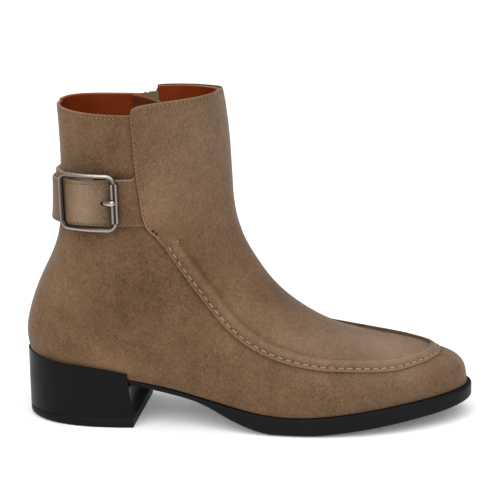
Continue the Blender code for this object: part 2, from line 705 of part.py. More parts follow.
def make_heel_block(material, root):
    """Block heel whose cup holds the seat of the sole and the foot of the upper."""
    count = 37
    foot = square_breast(heel_line(count, HEEL_OUT, BREAST_FOOT), BREAST_FOOT)
    outer = square_breast(heel_line(count, CUP_OUT, BREAST_TOP), BREAST_TOP)
    rim = square_breast(heel_line(count, CUP_OUT - CUP_RIM, BREAST_TOP), BREAST_TOP)
    pocket = square_breast(heel_line(count, CUP_CLEAR, BREAST_TOP), BREAST_TOP)

    def rim_height(x):
        return sole_at(x)[0] + RIM_HIGH

    def floor_height(x):
        return sole_at(x)[1] - GAP

    rows = [
        raised(foot, LIFT_HIGH + GAP),
        raised(outer, rim_height),
        raised(rim, rim_height),
        raised(pocket, floor_height),
    ]
    number = np.arange(4 * count).reshape(4, count)
    faces = []
    for level in range(3):
        faces += strip_faces(list(number[level]), list(number[level + 1]))
    half = count // 2 + 1
    for level in (0, 3):
        faces += strip_faces(list(number[level][:half]), list(number[level][::-1][:half]))
    faces.append([*number[:, 0], *number[::-1, -1]])
    faces = [tuple(map(int, face)) for face in faces]
    return new_piece("heel_block", np.concatenate(rows), faces, material, root)


def make_top_lift(material, root):
    """Rubber top lift under the heel, flat on the floor with an eased edge."""
    count = 37
    line = square_breast(heel_line(count, HEEL_OUT, BREAST_FOOT), BREAST_FOOT)
    ease = HEEL_EASE * smooth_step(1.0 - line[:, 0] / EASE_LONG)
    inward = np.array([HEEL_MIDDLE, 0.0]) - line
    inward /= np.linalg.norm(inward, axis=1, keepdims=True)
    low = line + inward * (LIFT_EDGE + 2.0 * ease)[:, None]
    half = count // 2

    def ring(path, height):
        flat = np.column_stack([path, height])
        return np.vstack([flat[half::-1], flat[:half - 1:-1]])

    level = np.ones(count)
    rings = [ring(low, 0.0 * level), ring(line, LIFT_EDGE + ease), ring(line, LIFT_HIGH * level)]
    return stacked_solid("heel_top_lift", rings, material, root)


def panel_girth(height):
    """Girth at which the panel's outer edge crosses each height of the shaft."""
    section, outer = panel_edge(200).T[:2]
    edge = LAST.at(section, LAST.across(section, -outer))
    order = np.argsort(edge[:, 2])
    x = np.interp(height, edge[order, 2], edge[order, 0])
    return LAST.girth_at(x, height, -1)


def zip_girth(height):
    """Girth of the zip's middle line on the inner side at each height."""
    share = (ZIP_TOP[1] - height) / (ZIP_TOP[1] - ZIP_FOOT[1])
    return LAST.girth_at(ZIP_TOP[0] + share * (ZIP_FOOT[0] - ZIP_TOP[0]), height, 1)


def belt_row(girth):
    """Height of the belt's middle, its width and its stand-off from the shaft."""
    middle, wide, lift = spline(BELT_TABLE[:, 0], BELT_TABLE[:, 1:], np.atleast_1d(girth)).T
    return middle, wide, np.maximum(lift, GAP)


def wrapped_band(name, girth, middle, wide, lift, thick, material, root):
    """Strap that follows the shaft, from grids of girth and rows of heights and stand-offs."""
    share = np.linspace(-0.5, 0.5, girth.shape[0])[:, None]
    height = middle[None, :] + share * wide
    inside = LAST.on_shaft(girth, height, lift[None, :] + 0.0 * height)
    outside = LAST.on_shaft(girth, height, (lift + thick)[None, :] + 0.0 * height)
    return sheet_solid(name, outside, inside, material, root)


def belt_end():
    """Girth where the belt and its band end, just short of the zip."""
    return zip_girth(BELT_TABLE[-1:, 1])[0] - ZIP_WIDE / 2.0 - 2.0 * GAP


def make_belt(material, root):
    """Belt from the panel's outer edge, through the buckle, round the back to the zip."""
    rows = 5
    start_height = BELT_TABLE[0, 1] + np.linspace(-0.5, 0.5, rows) * BELT_TABLE[0, 2]
    start = panel_girth(start_height) + GAP
    middle_start = start[rows // 2]
    girth = np.concatenate([
        np.linspace(middle_start, BUCKLE_MIDDLE, 9),
        np.linspace(BUCKLE_MIDDLE, belt_end(), 24)[1:],
    ])
    fade = np.clip(1.0 - (girth - middle_start) / BELT_BLEND, 0.0, 1.0)
    grid = girth[None, :] + (start - middle_start)[:, None] * fade[None, :]
    middle, wide, lift = belt_row(girth)
    thick = np.full(len(girth), BELT_THICK)
    return wrapped_band("belt_strap", grid, middle, wide, lift, thick, material, root)


def make_chape(material, root):
    """Band under the belt that carries the buckle."""
    girth = np.linspace(CHAPE_START, belt_end(), 24)
    middle, belt_wide, lift = belt_row(girth)
    stand_off = np.full(len(girth), GAP)
    thick = np.minimum(lift - 2.0 * GAP, CHAPE_THICK)
    grid = np.repeat(girth[None, :], 5, axis=0)
    taper = smooth_step((girth - CHAPE_START) / CHAPE_TAPER)
    wide = belt_wide + (CHAPE_WIDE - belt_wide) * taper
    middle = middle + CHAPE_RISE * taper
    return wrapped_band("chape_band", grid, middle, wide, stand_off, thick, material, root)


def buckle_lift(girth):
    """Stand-off of the buckle's wire from the shaft: over the belt on both of its cross bars."""
    front = BUCKLE_MIDDLE - BUCKLE_WIDE / 2.0
    back = BUCKLE_MIDDLE + BUCKLE_WIDE / 2.0
    front_lift = belt_row(front)[2][0] + BELT_THICK + 2.0 * GAP + ROLLER_RADIUS
    back_lift = belt_row(back)[2][0] + BELT_THICK + 2.0 * GAP + WIRE_RADIUS
    return np.interp(girth, [front, back], [front_lift, back_lift])


def on_buckle(across, up, extra=0.0):
    """Point of the buckle's plane, which is bent around the shaft and straight upwards."""
    girth = BUCKLE_MIDDLE + np.asarray(across, float)
    level = np.full(girth.shape, belt_row(BUCKLE_MIDDLE)[0][0] + BUCKLE_UP)
    return LAST.on_shaft(girth, level, buckle_lift(girth) + extra) + np.multiply.outer(up, (0.0, 0.0, 1.0))


def rounded_frame(wide, high, radius, arc_points, side_points):
    """Closed rounded rectangle as points, across and up."""
    path = []
    for turn, (sign_x, sign_y) in enumerate(((1, 1), (-1, 1), (-1, -1), (1, -1))):
        middle = np.array([sign_x * (wide / 2.0 - radius), sign_y * (high / 2.0 - radius)])
        angle = np.radians(90.0 * turn) + np.linspace(0.0, np.pi / 2.0, arc_points)
        path.append(middle + radius * np.column_stack([np.cos(angle), np.sin(angle)]))
    corners = np.vstack(path)
    closed = np.vstack([corners, corners[:1]])
    points = []
    for first, second in zip(closed[:-1], closed[1:]):
        steps = side_points if np.linalg.norm(second - first) > 2.0 * radius else 1
        points += [first + (second - first) * i / steps for i in range(steps)]
    return np.array(points)


def tube_solid(name, path, radius, sides, closed, material, root):
    """Round tube along a path, its section turned to face away from the boot's middle line."""
    ahead = np.roll(path, -1, axis=0) - np.roll(path, 1, axis=0) if closed else np.gradient(path, axis=0)
    ahead /= np.linalg.norm(ahead, axis=1, keepdims=True)
    away = path - path.mean(axis=0) if closed else np.broadcast_to((0.3, -1.0, 0.2), path.shape)
    first = np.cross(ahead, away)
    first /= np.linalg.norm(first, axis=1, keepdims=True)
    second = np.cross(ahead, first)
    angle = np.linspace(0.0, 2.0 * np.pi, sides, endpoint=False)[None, :, None]
    size = np.broadcast_to(radius, len(path))[:, None, None]
    rings = path[:, None] + size * (np.cos(angle) * first[:, None] + np.sin(angle) * second[:, None])
    count = len(path)
    number = np.arange(count * sides).reshape(count, sides)
    number = np.column_stack([number, number[:, 0]])
    if closed:
        number = np.vstack([number, number[:1]])
    faces = []
    for low, high in zip(number[:-1], number[1:]):
        faces += strip_faces([int(i) for i in low], [int(i) for i in high])
    if not closed:
        faces += [tuple(int(i) for i in number[0, :-1]), tuple(int(i) for i in number[-1, :-1])]
    return new_piece(name, rings, faces, material, root)


def make_buckle_frame(material, root):
    """Bent square wire frame that lies over the belt."""
    outline = rounded_frame(BUCKLE_WIDE, BUCKLE_HIGH, BUCKLE_CORNER, 5, 5)
    return tube_solid("buckle_frame", on_buckle(*outline.T), WIRE_RADIUS, 8, True, material, root)


def make_buckle_roller(material, root):
    """Tube that turns on the frame's front bar, where the belt goes under it."""
    bar = -BUCKLE_WIDE / 2.0
    ends = on_buckle([bar, bar], [-ROLLER_LONG / 2.0, ROLLER_LONG / 2.0])
    sides = 12
    ahead = (ends[1] - ends[0]) / np.linalg.norm(ends[1] - ends[0])
    first = np.cross(ahead, (1.0, 0.0, 0.0))
    first /= np.linalg.norm(first)
    second = np.cross(ahead, first)
    angle = np.linspace(0.0, 2.0 * np.pi, sides, endpoint=False)[:, None]
    ring = np.cos(angle) * first + np.sin(angle) * second
    bore = WIRE_RADIUS + GAP
    loops = [ends[0] + bore * ring, ends[0] + ROLLER_RADIUS * ring,
             ends[1] + ROLLER_RADIUS * ring, ends[1] + bore * ring]
    number = np.arange(4 * sides).reshape(4, sides)
    number = np.column_stack([number, number[:, 0]])
    faces = []
    for level in range(4):
        faces += strip_faces([int(i) for i in number[level]], [int(i) for i in number[(level + 1) % 4]])
    return new_piece("buckle_roller", np.concatenate(loops), faces, material, root)


def make_buckle_prong(material, root):
    """Prong that comes through the belt's hole and rests on the roller."""
    bar = -BUCKLE_WIDE / 2.0
    hole = bar + PRONG_LONG
    girth = BUCKLE_MIDDLE + hole
    rest = ROLLER_RADIUS + GAP + PRONG_RADIUS
    above_belt = belt_row(girth)[2][0] + BELT_THICK + GAP + PRONG_RADIUS - buckle_lift(girth)
    share = np.linspace(0.0, 1.0, 7)
    across = hole + (bar - hole) * share
    extra = above_belt + (rest - above_belt) * smooth_step(share * 1.25)
    radius = PRONG_RADIUS * np.array([0.7, 0.95, 1.0, 1.0, 1.0, 0.95, 0.6])
    path = on_buckle(across, np.full(len(share), PRONG_UP), extra)
    return tube_solid("buckle_prong", path, radius, 10, False, material, root)


def make_zip(material, root):
    """Closed zip on the inner side, from the collar to above the sole."""
    height = np.linspace(ZIP_FOOT[1], ZIP_TOP[1], 22)
    girth = zip_girth(height)[:, None] + np.linspace(-0.5, 0.5, 3)[None, :] * ZIP_WIDE
    level = np.repeat(height[:, None], 3, axis=1)
    inside = LAST.on_shaft(girth, level, np.full(level.shape, GAP))
    outside = LAST.on_shaft(girth, level, np.full(level.shape, GAP + ZIP_THICK))
    return sheet_solid("zip_chain", outside, inside, material, root)


def zip_frame(height, lift):
    """Upright frame on the zip: x along the shaft towards the toe, y outward, z up."""
    girth = zip_girth(np.array([height]))
    place = LAST.on_shaft(girth, np.array([height]), np.array([lift]))[0]
    ahead = LAST.on_shaft(girth + 2.0, np.array([height])) - LAST.on_shaft(girth - 2.0, np.array([height]))
    ahead = Vector((ahead[0, 0], ahead[0, 1], 0.0)).normalized()
    outward = Vector((0.0, 0.0, 1.0)).cross(ahead)
    frame = Matrix((ahead, outward, (0.0, 0.0, 1.0))).transposed().to_4x4()
    frame.translation = Vector(place) * MM
    return frame


def add_box(work, low, high):
    """Box between two corners in millimetres."""
    size = Vector(high) - Vector(low)
    middle = (Vector(high) + Vector(low)) / 2.0
    place = Matrix.Translation(middle * MM) @ Matrix.Diagonal((*(size * MM), 1.0))
    bmesh.ops.create_cube(work, size=1.0, matrix=place)


def add_pin(work, radius, half_long, middle):
    """Round pin along x in millimetres."""
    place = Matrix.Translation(Vector(middle) * MM) @ Matrix.Rotation(np.pi / 2.0, 4, "Y")
    bmesh.ops.create_cone(work, cap_ends=True, segments=16, radius1=radius * MM, radius2=radius * MM,
                          depth=2.0 * half_long * MM, matrix=place)


def local_piece(name, build, frame, material, root):
    """Object whose mesh a function draws in millimetres around the object's own origin."""
    mesh = bpy.data.meshes.new(name)
    work = bmesh.new()
    build(work)
    work.to_mesh(mesh)
    work.free()
    if material:
        mesh.materials.append(material)
    piece = bpy.data.objects.new(name, mesh)
    bpy.context.collection.objects.link(piece)
    piece.parent = root
    piece.matrix_local = frame
    return piece


def join_shapes(piece, others, operation):
    """Boolean of the piece with cutters or additions, which stay hidden."""
    for other in others:
        change = piece.modifiers.new(other.name, "BOOLEAN")
        change.operation = operation
        change.object = other
        other.hide_render = True
        other.display_type = "WIRE"


def make_zip_slider(material, root, frame):
    """Slider body with two ears and the pin that its pull hangs on."""
    half = SLIDER_WIDE / 2.0
    ear_in = PULL_NECK / 2.0 + EAR_CLEAR
    ear_out = ear_in + EAR_THICK
    back = -PIN_OUT
    root_depth = back + SLIDER_THICK - EAR_ROOT
    piece = local_piece("zip_slider", lambda work: add_box(
        work, (-half, back, -SLIDER_HIGH / 2.0), (half, back + SLIDER_THICK, SLIDER_HIGH / 2.0)),
        frame, material, root)
    shapes = []
    for name, low, high in (("ear_front", ear_in, ear_out), ("ear_back", -ear_out, -ear_in)):
        shapes.append(local_piece(name, lambda work, low=low, high=high: add_box(
            work, (low, root_depth, -EAR_HALF), (high, EAR_TIP, EAR_HALF)), frame, None, root))
    shapes.append(local_piece("pin", lambda work: add_pin(
        work, PIN_RADIUS, (ear_in + ear_out) / 2.0, (0.0, 0.0, 0.0)), frame, None, root))
    join_shapes(piece, shapes, "UNION")
    return piece


def make_zip_pull(material, root, frame):
    """Pull tab with a barrel that turns on the slider's pin."""
    neck = PULL_NECK / 2.0
    half = PULL_WIDE / 2.0
    thick = PULL_THICK / 2.0
    piece = local_piece("zip_pull", lambda work: add_pin(
        work, PIN_RADIUS + BARREL_WALL, neck, (0.0, 0.0, 0.0)), frame, material, root)
    stem_half = neck - STEM_INSET
    stem = local_piece("stem", lambda work: add_box(
        work, (-stem_half, -thick, -PULL_STEM), (stem_half, thick, -PIN_RADIUS)), frame, None, root)
    tab = local_piece("tab", lambda work: add_box(
        work, (-half, -thick * 0.9, -PULL_LONG), (half, thick * 0.9, EAR_ROOT - PULL_STEM)),
        frame, None, root)
    join_shapes(piece, [stem, tab], "UNION")
    bore = local_piece("bore", lambda work: add_pin(
        work, PIN_RADIUS + PIN_CLEAR, 2.0 * neck, (0.0, 0.0, 0.0)), frame, None, root)
    join_shapes(piece, [bore], "DIFFERENCE")
    return piece


def centre_on_floor(root):
    """Move the root so that the middle of the footprint lies at the origin."""
    bpy.context.view_layer.update()
    graph = bpy.context.evaluated_depsgraph_get()
    corners = []
    for piece in bpy.context.collection.objects:
        if piece.type == "MESH" and not piece.hide_render:
            shape = piece.evaluated_get(graph)
            corners += [shape.matrix_world @ Vector(corner) for corner in shape.bound_box]
    low = np.min(corners, axis=0)
    high = np.max(corners, axis=0)
    root.location = (-(low[0] + high[0]) / 2.0, -(low[1] + high[1]) / 2.0, -low[2])


def main():
    for item in list(bpy.data.objects):
        bpy.data.objects.remove(item, do_unlink=True)
    root = bpy.data.objects.new("boot", None)
    bpy.context.collection.objects.link(root)
    suede = new_material("taupe_suede", SUEDE, 0.95)
    panel_suede = new_material("panel_suede", SUEDE_PANEL, 0.95)
    belt_suede = new_material("belt_suede", BELT_SUEDE, 0.95)
    rubber = new_material("black_rubber", BLACK, 0.45)
    heel_black = new_material("black_heel", BLACK, 0.35)
    sock = new_material("rust_leather", LINING, 0.50)
    metal = new_material("gunmetal", METAL, 0.30, 1.0)
    dark_metal = new_material("zip_metal", METAL, 0.40, 1.0)
    make_upper(suede, root)
    make_front_panel(panel_suede, root)
    make_outsole(rubber, root)
    make_insole(sock, root)
    make_heel_block(heel_black, root)
    make_top_lift(rubber, root)
    make_belt(belt_suede, root)
    make_chape(belt_suede, root)
    make_buckle_frame(metal, root)
    make_buckle_roller(metal, root)
    make_buckle_prong(metal, root)
    make_zip(dark_metal, root)
    frame = zip_frame(SLIDER_HEIGHT, GAP + ZIP_THICK + SLIDER_CLEAR + PIN_OUT)
    make_zip_slider(dark_metal, root, frame)
    make_zip_pull(dark_metal, root, frame)
    centre_on_floor(root)


main()
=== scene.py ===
"""Looks of a suede ankle boot for the right foot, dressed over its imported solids.

The file is laid out as an add-on and run as a script.  Shapes are worked out in millimetres in
the boot's own frame (x from the heel to the toe, y to the inner side, z up from the floor) on
the surface of the last that the solids were drawn over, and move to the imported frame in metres
where a mesh is made.
"""
import json
from types import SimpleNamespace

import bmesh
import bpy
import numpy as np
from bpy.props import FloatProperty, FloatVectorProperty, PointerProperty
from mathutils import Matrix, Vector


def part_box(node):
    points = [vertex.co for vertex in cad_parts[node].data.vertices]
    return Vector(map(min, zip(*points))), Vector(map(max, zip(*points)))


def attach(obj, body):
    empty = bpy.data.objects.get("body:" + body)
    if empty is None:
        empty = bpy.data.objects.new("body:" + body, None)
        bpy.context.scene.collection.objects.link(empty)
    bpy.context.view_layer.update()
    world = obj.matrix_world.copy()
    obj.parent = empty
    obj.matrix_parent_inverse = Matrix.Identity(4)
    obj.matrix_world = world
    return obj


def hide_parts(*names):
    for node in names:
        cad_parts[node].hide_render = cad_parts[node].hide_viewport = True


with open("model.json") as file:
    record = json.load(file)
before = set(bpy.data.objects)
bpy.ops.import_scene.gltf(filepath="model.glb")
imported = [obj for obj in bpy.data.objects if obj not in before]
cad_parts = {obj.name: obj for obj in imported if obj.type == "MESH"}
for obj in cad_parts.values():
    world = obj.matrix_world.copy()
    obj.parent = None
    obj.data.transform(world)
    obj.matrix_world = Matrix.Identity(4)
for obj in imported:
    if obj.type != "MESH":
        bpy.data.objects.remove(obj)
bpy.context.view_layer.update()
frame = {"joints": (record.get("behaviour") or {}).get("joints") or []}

bl_info = {
    "name": "Suede ankle boot",
    "version": (1, 0, 0),
    "blender": (4, 5, 0),
    "location": "View3D > Sidebar > Boot",
    "description": "Dresses the packed boot in suede, leather, rubber and metal",
    "category": "Object",
}

MM = 0.001

# Sizes shared with the solids, in millimetres
WALL = 2.2  # suede and lining together
GAP = 0.35  # clearance where two pieces meet
SUEDE_THICK = 1.0  # the suede's part of the wall
INSOLE_THICK = 1.8
INSOLE_ROUND = 0.7  # rounding of its top edge
INSOLE_CLEAR = 0.9  # from the insole to the wall of the upper
SOLE_ROUND = 1.0  # rounding of the sole's top edge
SOLE_LOW = 2.0  # height at which the sole's side starts to roll under
SOLE_ROLL = 4.8  # and how far it rolls in
HEEL_OUT = 3.6  # foot of the heel past the feather edge
HEEL_MIDDLE = 40.0  # x of the heel's middle
HEEL_EASE = 1.6  # lift of the heel's lower edge at the back
EASE_LONG = 45.0  # x at which that lift has faded out
LIFT_HIGH = 6.0  # top lift under the heel
LIFT_EDGE = 0.8  # bevel round its underside
BREAST_TOP = 70.0  # front of the heel at its top
BREAST_FOOT = 72.8  # and at the floor
RIM_HIGH = 4.2  # heel cup above the feather edge
RIM_RISE = 3.0  # and by how much it rises at the back
HEEL_BULGE = 1.1  # by which the heel's back is drawn out
CUP_OUT = 3.1  # outside of the cup past the feather edge
CUP_RIM = 0.9  # thickness of the cup at its top
CUP_CLEAR = 0.5  # floor of the cup past the feather edge
FLAP_CLEAR = 0.02  # from the heel's front to the flap over it
FLAP_THICK = 0.3  # and to the flap's outside
CHAPE_WIDE = 29.0  # width of the band under the belt that holds the buckle
BUCKLE_WIDE = 30.8  # along the shaft, from bar to bar
BUCKLE_HIGH = 31.0
BUCKLE_CORNER = 4.5
WIRE_RADIUS = 1.45
ROLLER_RADIUS = 2.3
ROLLER_LONG = 23.2
ROLLER_EDGE = 0.25  # bevel at its ends
ROLLER_SLIT = 0.28  # half angle of the open seam along the roller
ROLLER_TURN = 0.15  # angle by which that seam is turned from facing out to the toe
PRONG_RADIUS = 1.5
PRONG_UP = 0.2  # above the buckle's middle
PRONG_LONG = 7.4  # from the bar to the prong's end in the solids, here its radius less
PRONG_PAST = 1.3  # by which its other end passes the bar
PRONG_RISE = 1.2  # by which its end at the bar is higher
ZIP_WIDE = 8.0
SLIDER_WIDE = 8.0
SLIDER_HIGH = 11.0
SLIDER_THICK = 2.6
PIN_RADIUS = 0.8
PIN_OUT = 5.0  # from the back of the slider to its pin
EAR_CLEAR = 0.25  # from an ear to the pull's barrel
EAR_THICK = 1.3
EAR_HALF = (2.6, 2.2)  # half sizes of an ear, out and up
EAR_BACK = 0.6  # from the pin back to its middle
PULL_LONG = 22.0
PULL_WIDE = 6.0
PULL_NECK = 4.2
PULL_THICK = 1.8
PULL_STEM = 6.5  # narrow part under the barrel
BARREL_WALL = 1.1  # barrel around the pin
PIN_CLEAR = 0.3  # between the pin and the barrel's bore

# Points of the grids
RIB_POINTS = 160  # on each quarter of a section
UPPER_GRID = (150, 44, 229)  # rows up to the shaft, a sixth more at the toe, shaft rows, columns
LINING_GRID = (90, 30, 121)
PANEL_PLACES = 380  # along the panel's edge on each side
PANEL_FIELD = 18  # steps over the panel's field to its middle line
# Depths from the panel's edge of its first columns, dense at the cut edge
PANEL_DEPTHS = np.concatenate([np.linspace(0.0, 0.6, 6), np.linspace(0.9, 10.6, 30)])
PUCKER_COLUMN = 14  # column of those depths along which the puckers are spaced
# Rows of a strap from its lower edge to its upper one, dense at both
STRAP_SHARES = np.concatenate([
    np.linspace(0.0, 0.03, 5),
    np.linspace(0.05, 0.95, 19),
    np.linspace(0.97, 1.0, 5),
])
SOLE_POINTS = 170  # on each half of the sole's outline
HEEL_POINTS = 180  # round the heel from corner to corner
SMALL_BEAD = (5, 6)  # rows and columns of a small stitch or needle hole

# Plan of the last along its feather edge: distance from the axis to the outer and inner edge
HEEL_BACK = (7.8, 0.0)
TOE_TIP = (268.6, 9.0)
PLAN_TABLE = np.array([
    # x,  outer, inner
    [13.0, 12.6, 12.6],
    [25.0, 22.2, 22.2],
    [46.0, 27.6, 27.4],
    [70.0, 28.2, 26.4],
    [85.0, 26.8, 22.6],
    [100.0, 27.2, 21.0],
    [120.0, 31.0, 22.8],
    [144.0, 36.8, 29.5],
    [168.0, 40.0, 36.5],
    [191.0, 39.3, 39.6],
    [214.0, 35.2, 39.0],
    [236.0, 26.5, 35.3],
    [253.0, 15.8, 29.0],
    [263.5, 5.0, 22.5],
])

# Sections of the upper, fanned from the toe up to the collar: the crest point on the front
# line, the low point on the sole's middle line or on the back seam, the half widths from the
# crest, how far down the section is widest, and how square it is
SECTION_TABLE = np.array([
    # crest x, y, z, low x, low z, outer, inner, widest, squareness
    [268.9, 9.0, 20.2, 268.5, 19.5, 0.8, 0.8, 0.60, 2.00],
    [268.4, 9.0, 25.4, 267.6, 19.4, 5.2, 5.2, 0.62, 2.20],
    [267.0, 9.0, 30.2, 265.2, 19.4, 10.6, 10.2, 0.64, 2.30],
    [263.4, 9.0, 34.3, 261.0, 19.3, 16.2, 14.6, 0.66, 2.40],
    [256.8, 8.9, 37.5, 254.0, 18.9, 23.8, 20.0, 0.68, 2.55],
    [246.0, 8.5, 39.8, 242.5, 18.0, 32.0, 25.2, 0.70, 2.60],
    [231.0, 7.6, 43.0, 226.0, 16.4, 39.2, 30.6, 0.72, 2.50],
    [213.0, 6.2, 46.9, 205.0, 14.0, 44.6, 34.6, 0.74, 2.42],
    [196.0, 4.6, 52.4, 182.0, 11.8, 46.0, 35.8, 0.74, 2.20],
    [179.0, 3.0, 60.6, 155.0, 12.0, 43.8, 33.6, 0.70, 2.05],
    [163.0, 1.8, 71.8, 127.0, 16.6, 39.6, 31.6, 0.66, 2.00],
    [151.3, 1.0, 84.0, 98.0, 22.8, 36.4, 31.0, 0.60, 2.00],
    [143.6, 0.6, 95.4, 70.0, 29.0, 34.8, 31.6, 0.56, 2.05],
    [138.0, 0.3, 105.4, 44.0, 33.2, 34.4, 32.4, 0.53, 2.10],
    [134.2, 0.1, 115.2, 24.0, 34.4, 34.6, 33.2, 0.52, 2.15],
    [131.8, 0.0, 124.3, 12.6, 34.8, 35.0, 33.8, 0.52, 2.20],
    [130.7, 0.0, 132.8, 7.8, 36.2, 35.2, 34.2, 0.52, 2.20],
    [130.3, 0.0, 141.2, 4.2, 49.0, 35.4, 34.6, 0.51, 2.20],
    [130.0, 0.0, 149.6, 6.2, 64.0, 35.6, 35.0, 0.51, 2.25],
    [129.6, 0.0, 159.0, 14.6, 86.0, 36.0, 35.6, 0.50, 2.30],
    [129.0, 0.0, 169.0, 26.2, 110.0, 36.6, 36.2, 0.50, 2.35],
    [128.0, 0.0, 180.0, 30.4, 138.0, 37.4, 37.2, 0.50, 2.40],
    [126.7, 0.0, 190.4, 31.2, 166.0, 38.2, 38.2, 0.50, 2.40],
    [125.0, 0.0, 201.0, 30.7, 193.0, 39.0, 39.0, 0.50, 2.40],
    [124.1, 0.0, 208.0, 30.3, 202.0, 39.4, 39.4, 0.50, 2.40],
])
HEEL_SECTION = 16  # the section that ends at the back of the heel
CHART_SECTION = 11  # the first section that the chart of the shaft reads
RIM_SECTION = 22.7  # a section near the collar
SHAFT_SECTION = 18.5  # above it the rows lean to follow the collar

# Soft creases of the bend at the ankle and of the ball: the section at the crest, how much the
# section grows along the crease, the crease's middle and reach across, its width and its depth
CREASE_TABLE = np.array([
    # section, lean, middle, reach, width, depth
    [12.3, 1.6, -0.26, 0.22, 0.45, 0.32],
    [13.6, 2.2, 0.24, 0.24, 0.50, 0.32],
    [14.6, 2.4, -0.30, 0.20, 0.50, -0.22],
    [17.2, 0.6, -0.64, 0.13, 0.42, 0.70],
    [18.9, 0.2, 0.40, 0.25, 0.80, 0.35],
])

# Edge of the front panel, from the collar's corner to the toe: distance from the crest along
# the section on the outer and on the inner side
PANEL_TABLE = np.array([
    # section, outer, inner
    [22.60, 68.0, 66.4],
    [21.70, 69.6, 67.8],
    [20.85, 71.2, 69.0],
    [19.60, 71.6, 69.0],
    [18.50, 69.6, 66.6],
    [17.60, 64.0, 60.0],
    [16.00, 56.4, 51.6],
    [14.25, 50.6, 45.0],
    [12.40, 47.6, 40.2],
    [10.70, 48.2, 36.4],
    [9.05, 47.0, 31.6],
    [7.60, 43.2, 27.4],
    [6.50, 38.2, 24.3],
    [5.40, 26.6, 19.4],
    [4.75, 16.0, 13.6],
    [4.42, 8.0, 7.0],
    [4.34, 0.0, 0.0],
])
PANEL_FAN = 5.6  # section where the panel's middle line ends behind the toe
FAN_RATE = 0.6  # how fast that line's sections grow with the edge's
SECTION_SCALE = 8.0  # millimetres that one section counts for where the edge's points are spaced
RIM_FADE = 0.25  # share of the edge over which the rows turn from the collar's line
RIDGE_START = 16.9  # section where the raised seam starts below the belt
RIDGE_SHIFT = (8.0, 12.0)  # sections between which it draws nearer to the edge
RIDGE_TOE_IN = 4.8  # from the panel's edge to its crest at the toe
RIDGE_FADE = 0.9  # sections over which it rises out of the panel
SKIVED = 0.55  # by which the panel is thinned towards its edge at the toe
SKIVE_START = 8.5  # section where that thinning starts
TOE_SECTION = 6.5  # section from which the raised seam gets lower to the toe
PLUG_SECTION = 7.3  # section where the panel's field lies deepest between the raised seams
PLUG_SUNK = 1.2
PLUG_LONG = 1.7  # sections over which the field rises again
PLUG_SIDE = 6.0  # width over which it sinks beside the raised seam
TOE_LOWER = 0.35  # share by which the raised seam is lower at the toe
# Depth and width of what is pressed into the panel: the groove under the stitches, the one before
# the field, the pucker at each stitch, and the dip under the small stitches
GROOVE = (0.35, 0.6)
INNER_GROOVE = (0.2, 0.8)
PUCKER = (0.25, 0.9)
PUCKER_PAST = 1.2  # from the stitches to the pucker's middle
EDGE_DIP = (0.16, 0.6)

# Collar heights
PANEL_CORNER = (81.0, 189.4)  # x and height at the panel's back corner
PANEL_FRONT = (126.4, 198.0)  # x and height at the front
INNER_RIM_ENDS = (191.5, 195.9)  # the panel's rim on the inner side, at its corner and in front
RIM_BEND = 0.25  # power that rounds the rim at its outer corner
INNER_RIM_BEND = 0.1  # and at its inner corner
INNER_RIM_RISE = 10  # power with which the inner rim rises to the front
QUARTER_LOW = (80.0, 188.8)  # the quarters' rim at the panel
QUARTER_BACK = (30.2, 192.1)  # the quarters' rim at the back seam
INNER_RIM = 0.9  # by which the inner quarter's rim is higher
RIM_BACK = 1.2  # x by which the upper's rim follows behind the panel's corner
RIM_ROUND = 0.4  # rounding of the suede's edge at the collar
LINING_ROUND = 0.5  # and of the lining's
LINING_DROP = 0.15  # from the suede's edge down to the lining's
LINING_CLEAR = 0.06  # between the two
CUT_ROUND = 0.5  # rounding of a cut edge of the panel or the belt

# Sole along its length: top edge, underside, and how far it stands out past the upper
SOLE_TABLE = np.array([
    # x, top, underside, welt
    [4.0, 34.6, 30.6, 0.0],
    [24.0, 34.3, 30.3, 0.0],
    [46.0, 33.0, 29.0, 0.0],
    [66.0, 29.9, 25.9, 0.1],
    [74.0, 28.2, 24.3, 0.8],
    [85.0, 25.6, 21.7, 1.2],
    [98.0, 22.6, 18.7, 1.3],
    [112.0, 19.4, 15.2, 1.5],
    [120.0, 17.7, 12.0, 1.6],
    [129.0, 15.9, 7.7, 1.8],
    [138.0, 14.3, 4.1, 1.9],
    [148.0, 12.8, 1.2, 2.0],
    [156.0, 11.9, 0.0, 2.0],
    [168.0, 11.3, 0.0, 2.0],
    [180.0, 11.6, 0.0, 2.0],
    [191.0, 12.5, 0.8, 2.1],
    [214.0, 15.0, 3.4, 2.3],
    [236.0, 17.3, 6.1, 2.5],
    [254.0, 18.8, 8.2, 2.8],
    [272.0, 19.8, 10.4, 3.2],
])

# Belt around the ankle: girth from the back seam (outer side negative), height of its middle,
# its width, and how far it stands off the shaft
BELT_TABLE = np.array([
    # girth, middle, wide, stand-off
    [-78.0, 138.4, 27.4, 0.35],
    [-66.0, 138.4, 27.2, 0.35],
    [-58.0, 138.4, 27.0, 1.20],
    [-50.0, 138.4, 27.0, 2.60],
    [-30.0, 137.4, 26.4, 2.90],
    [-12.0, 136.4, 25.4, 3.10],
    [0.0, 136.0, 25.0, 3.20],
    [20.0, 136.2, 25.0, 2.90],
    [45.0, 136.8, 25.0, 2.60],
    [66.0, 137.2, 25.0, 2.60],
])
CHAPE_START = -48.0  # the band under the belt starts below the buckle
CHAPE_RISE = 2.6  # and at the back its middle lies above the belt's
CHAPE_TAPER = 30.0  # girth over which it gets there
BELT_BLEND = 12.0  # girth over which the belt's end turns along the panel's edge
BELT_FILLET = 4.2  # hollow corner between the belt's top edge and the panel
BELT_JOINT = 0.08  # between the belt's end and the panel
BELT_SWELL = 1.1  # bulge of the belt inside the buckle
BELT_SWELL_LONG = 8.5  # girth over which the bulge fades
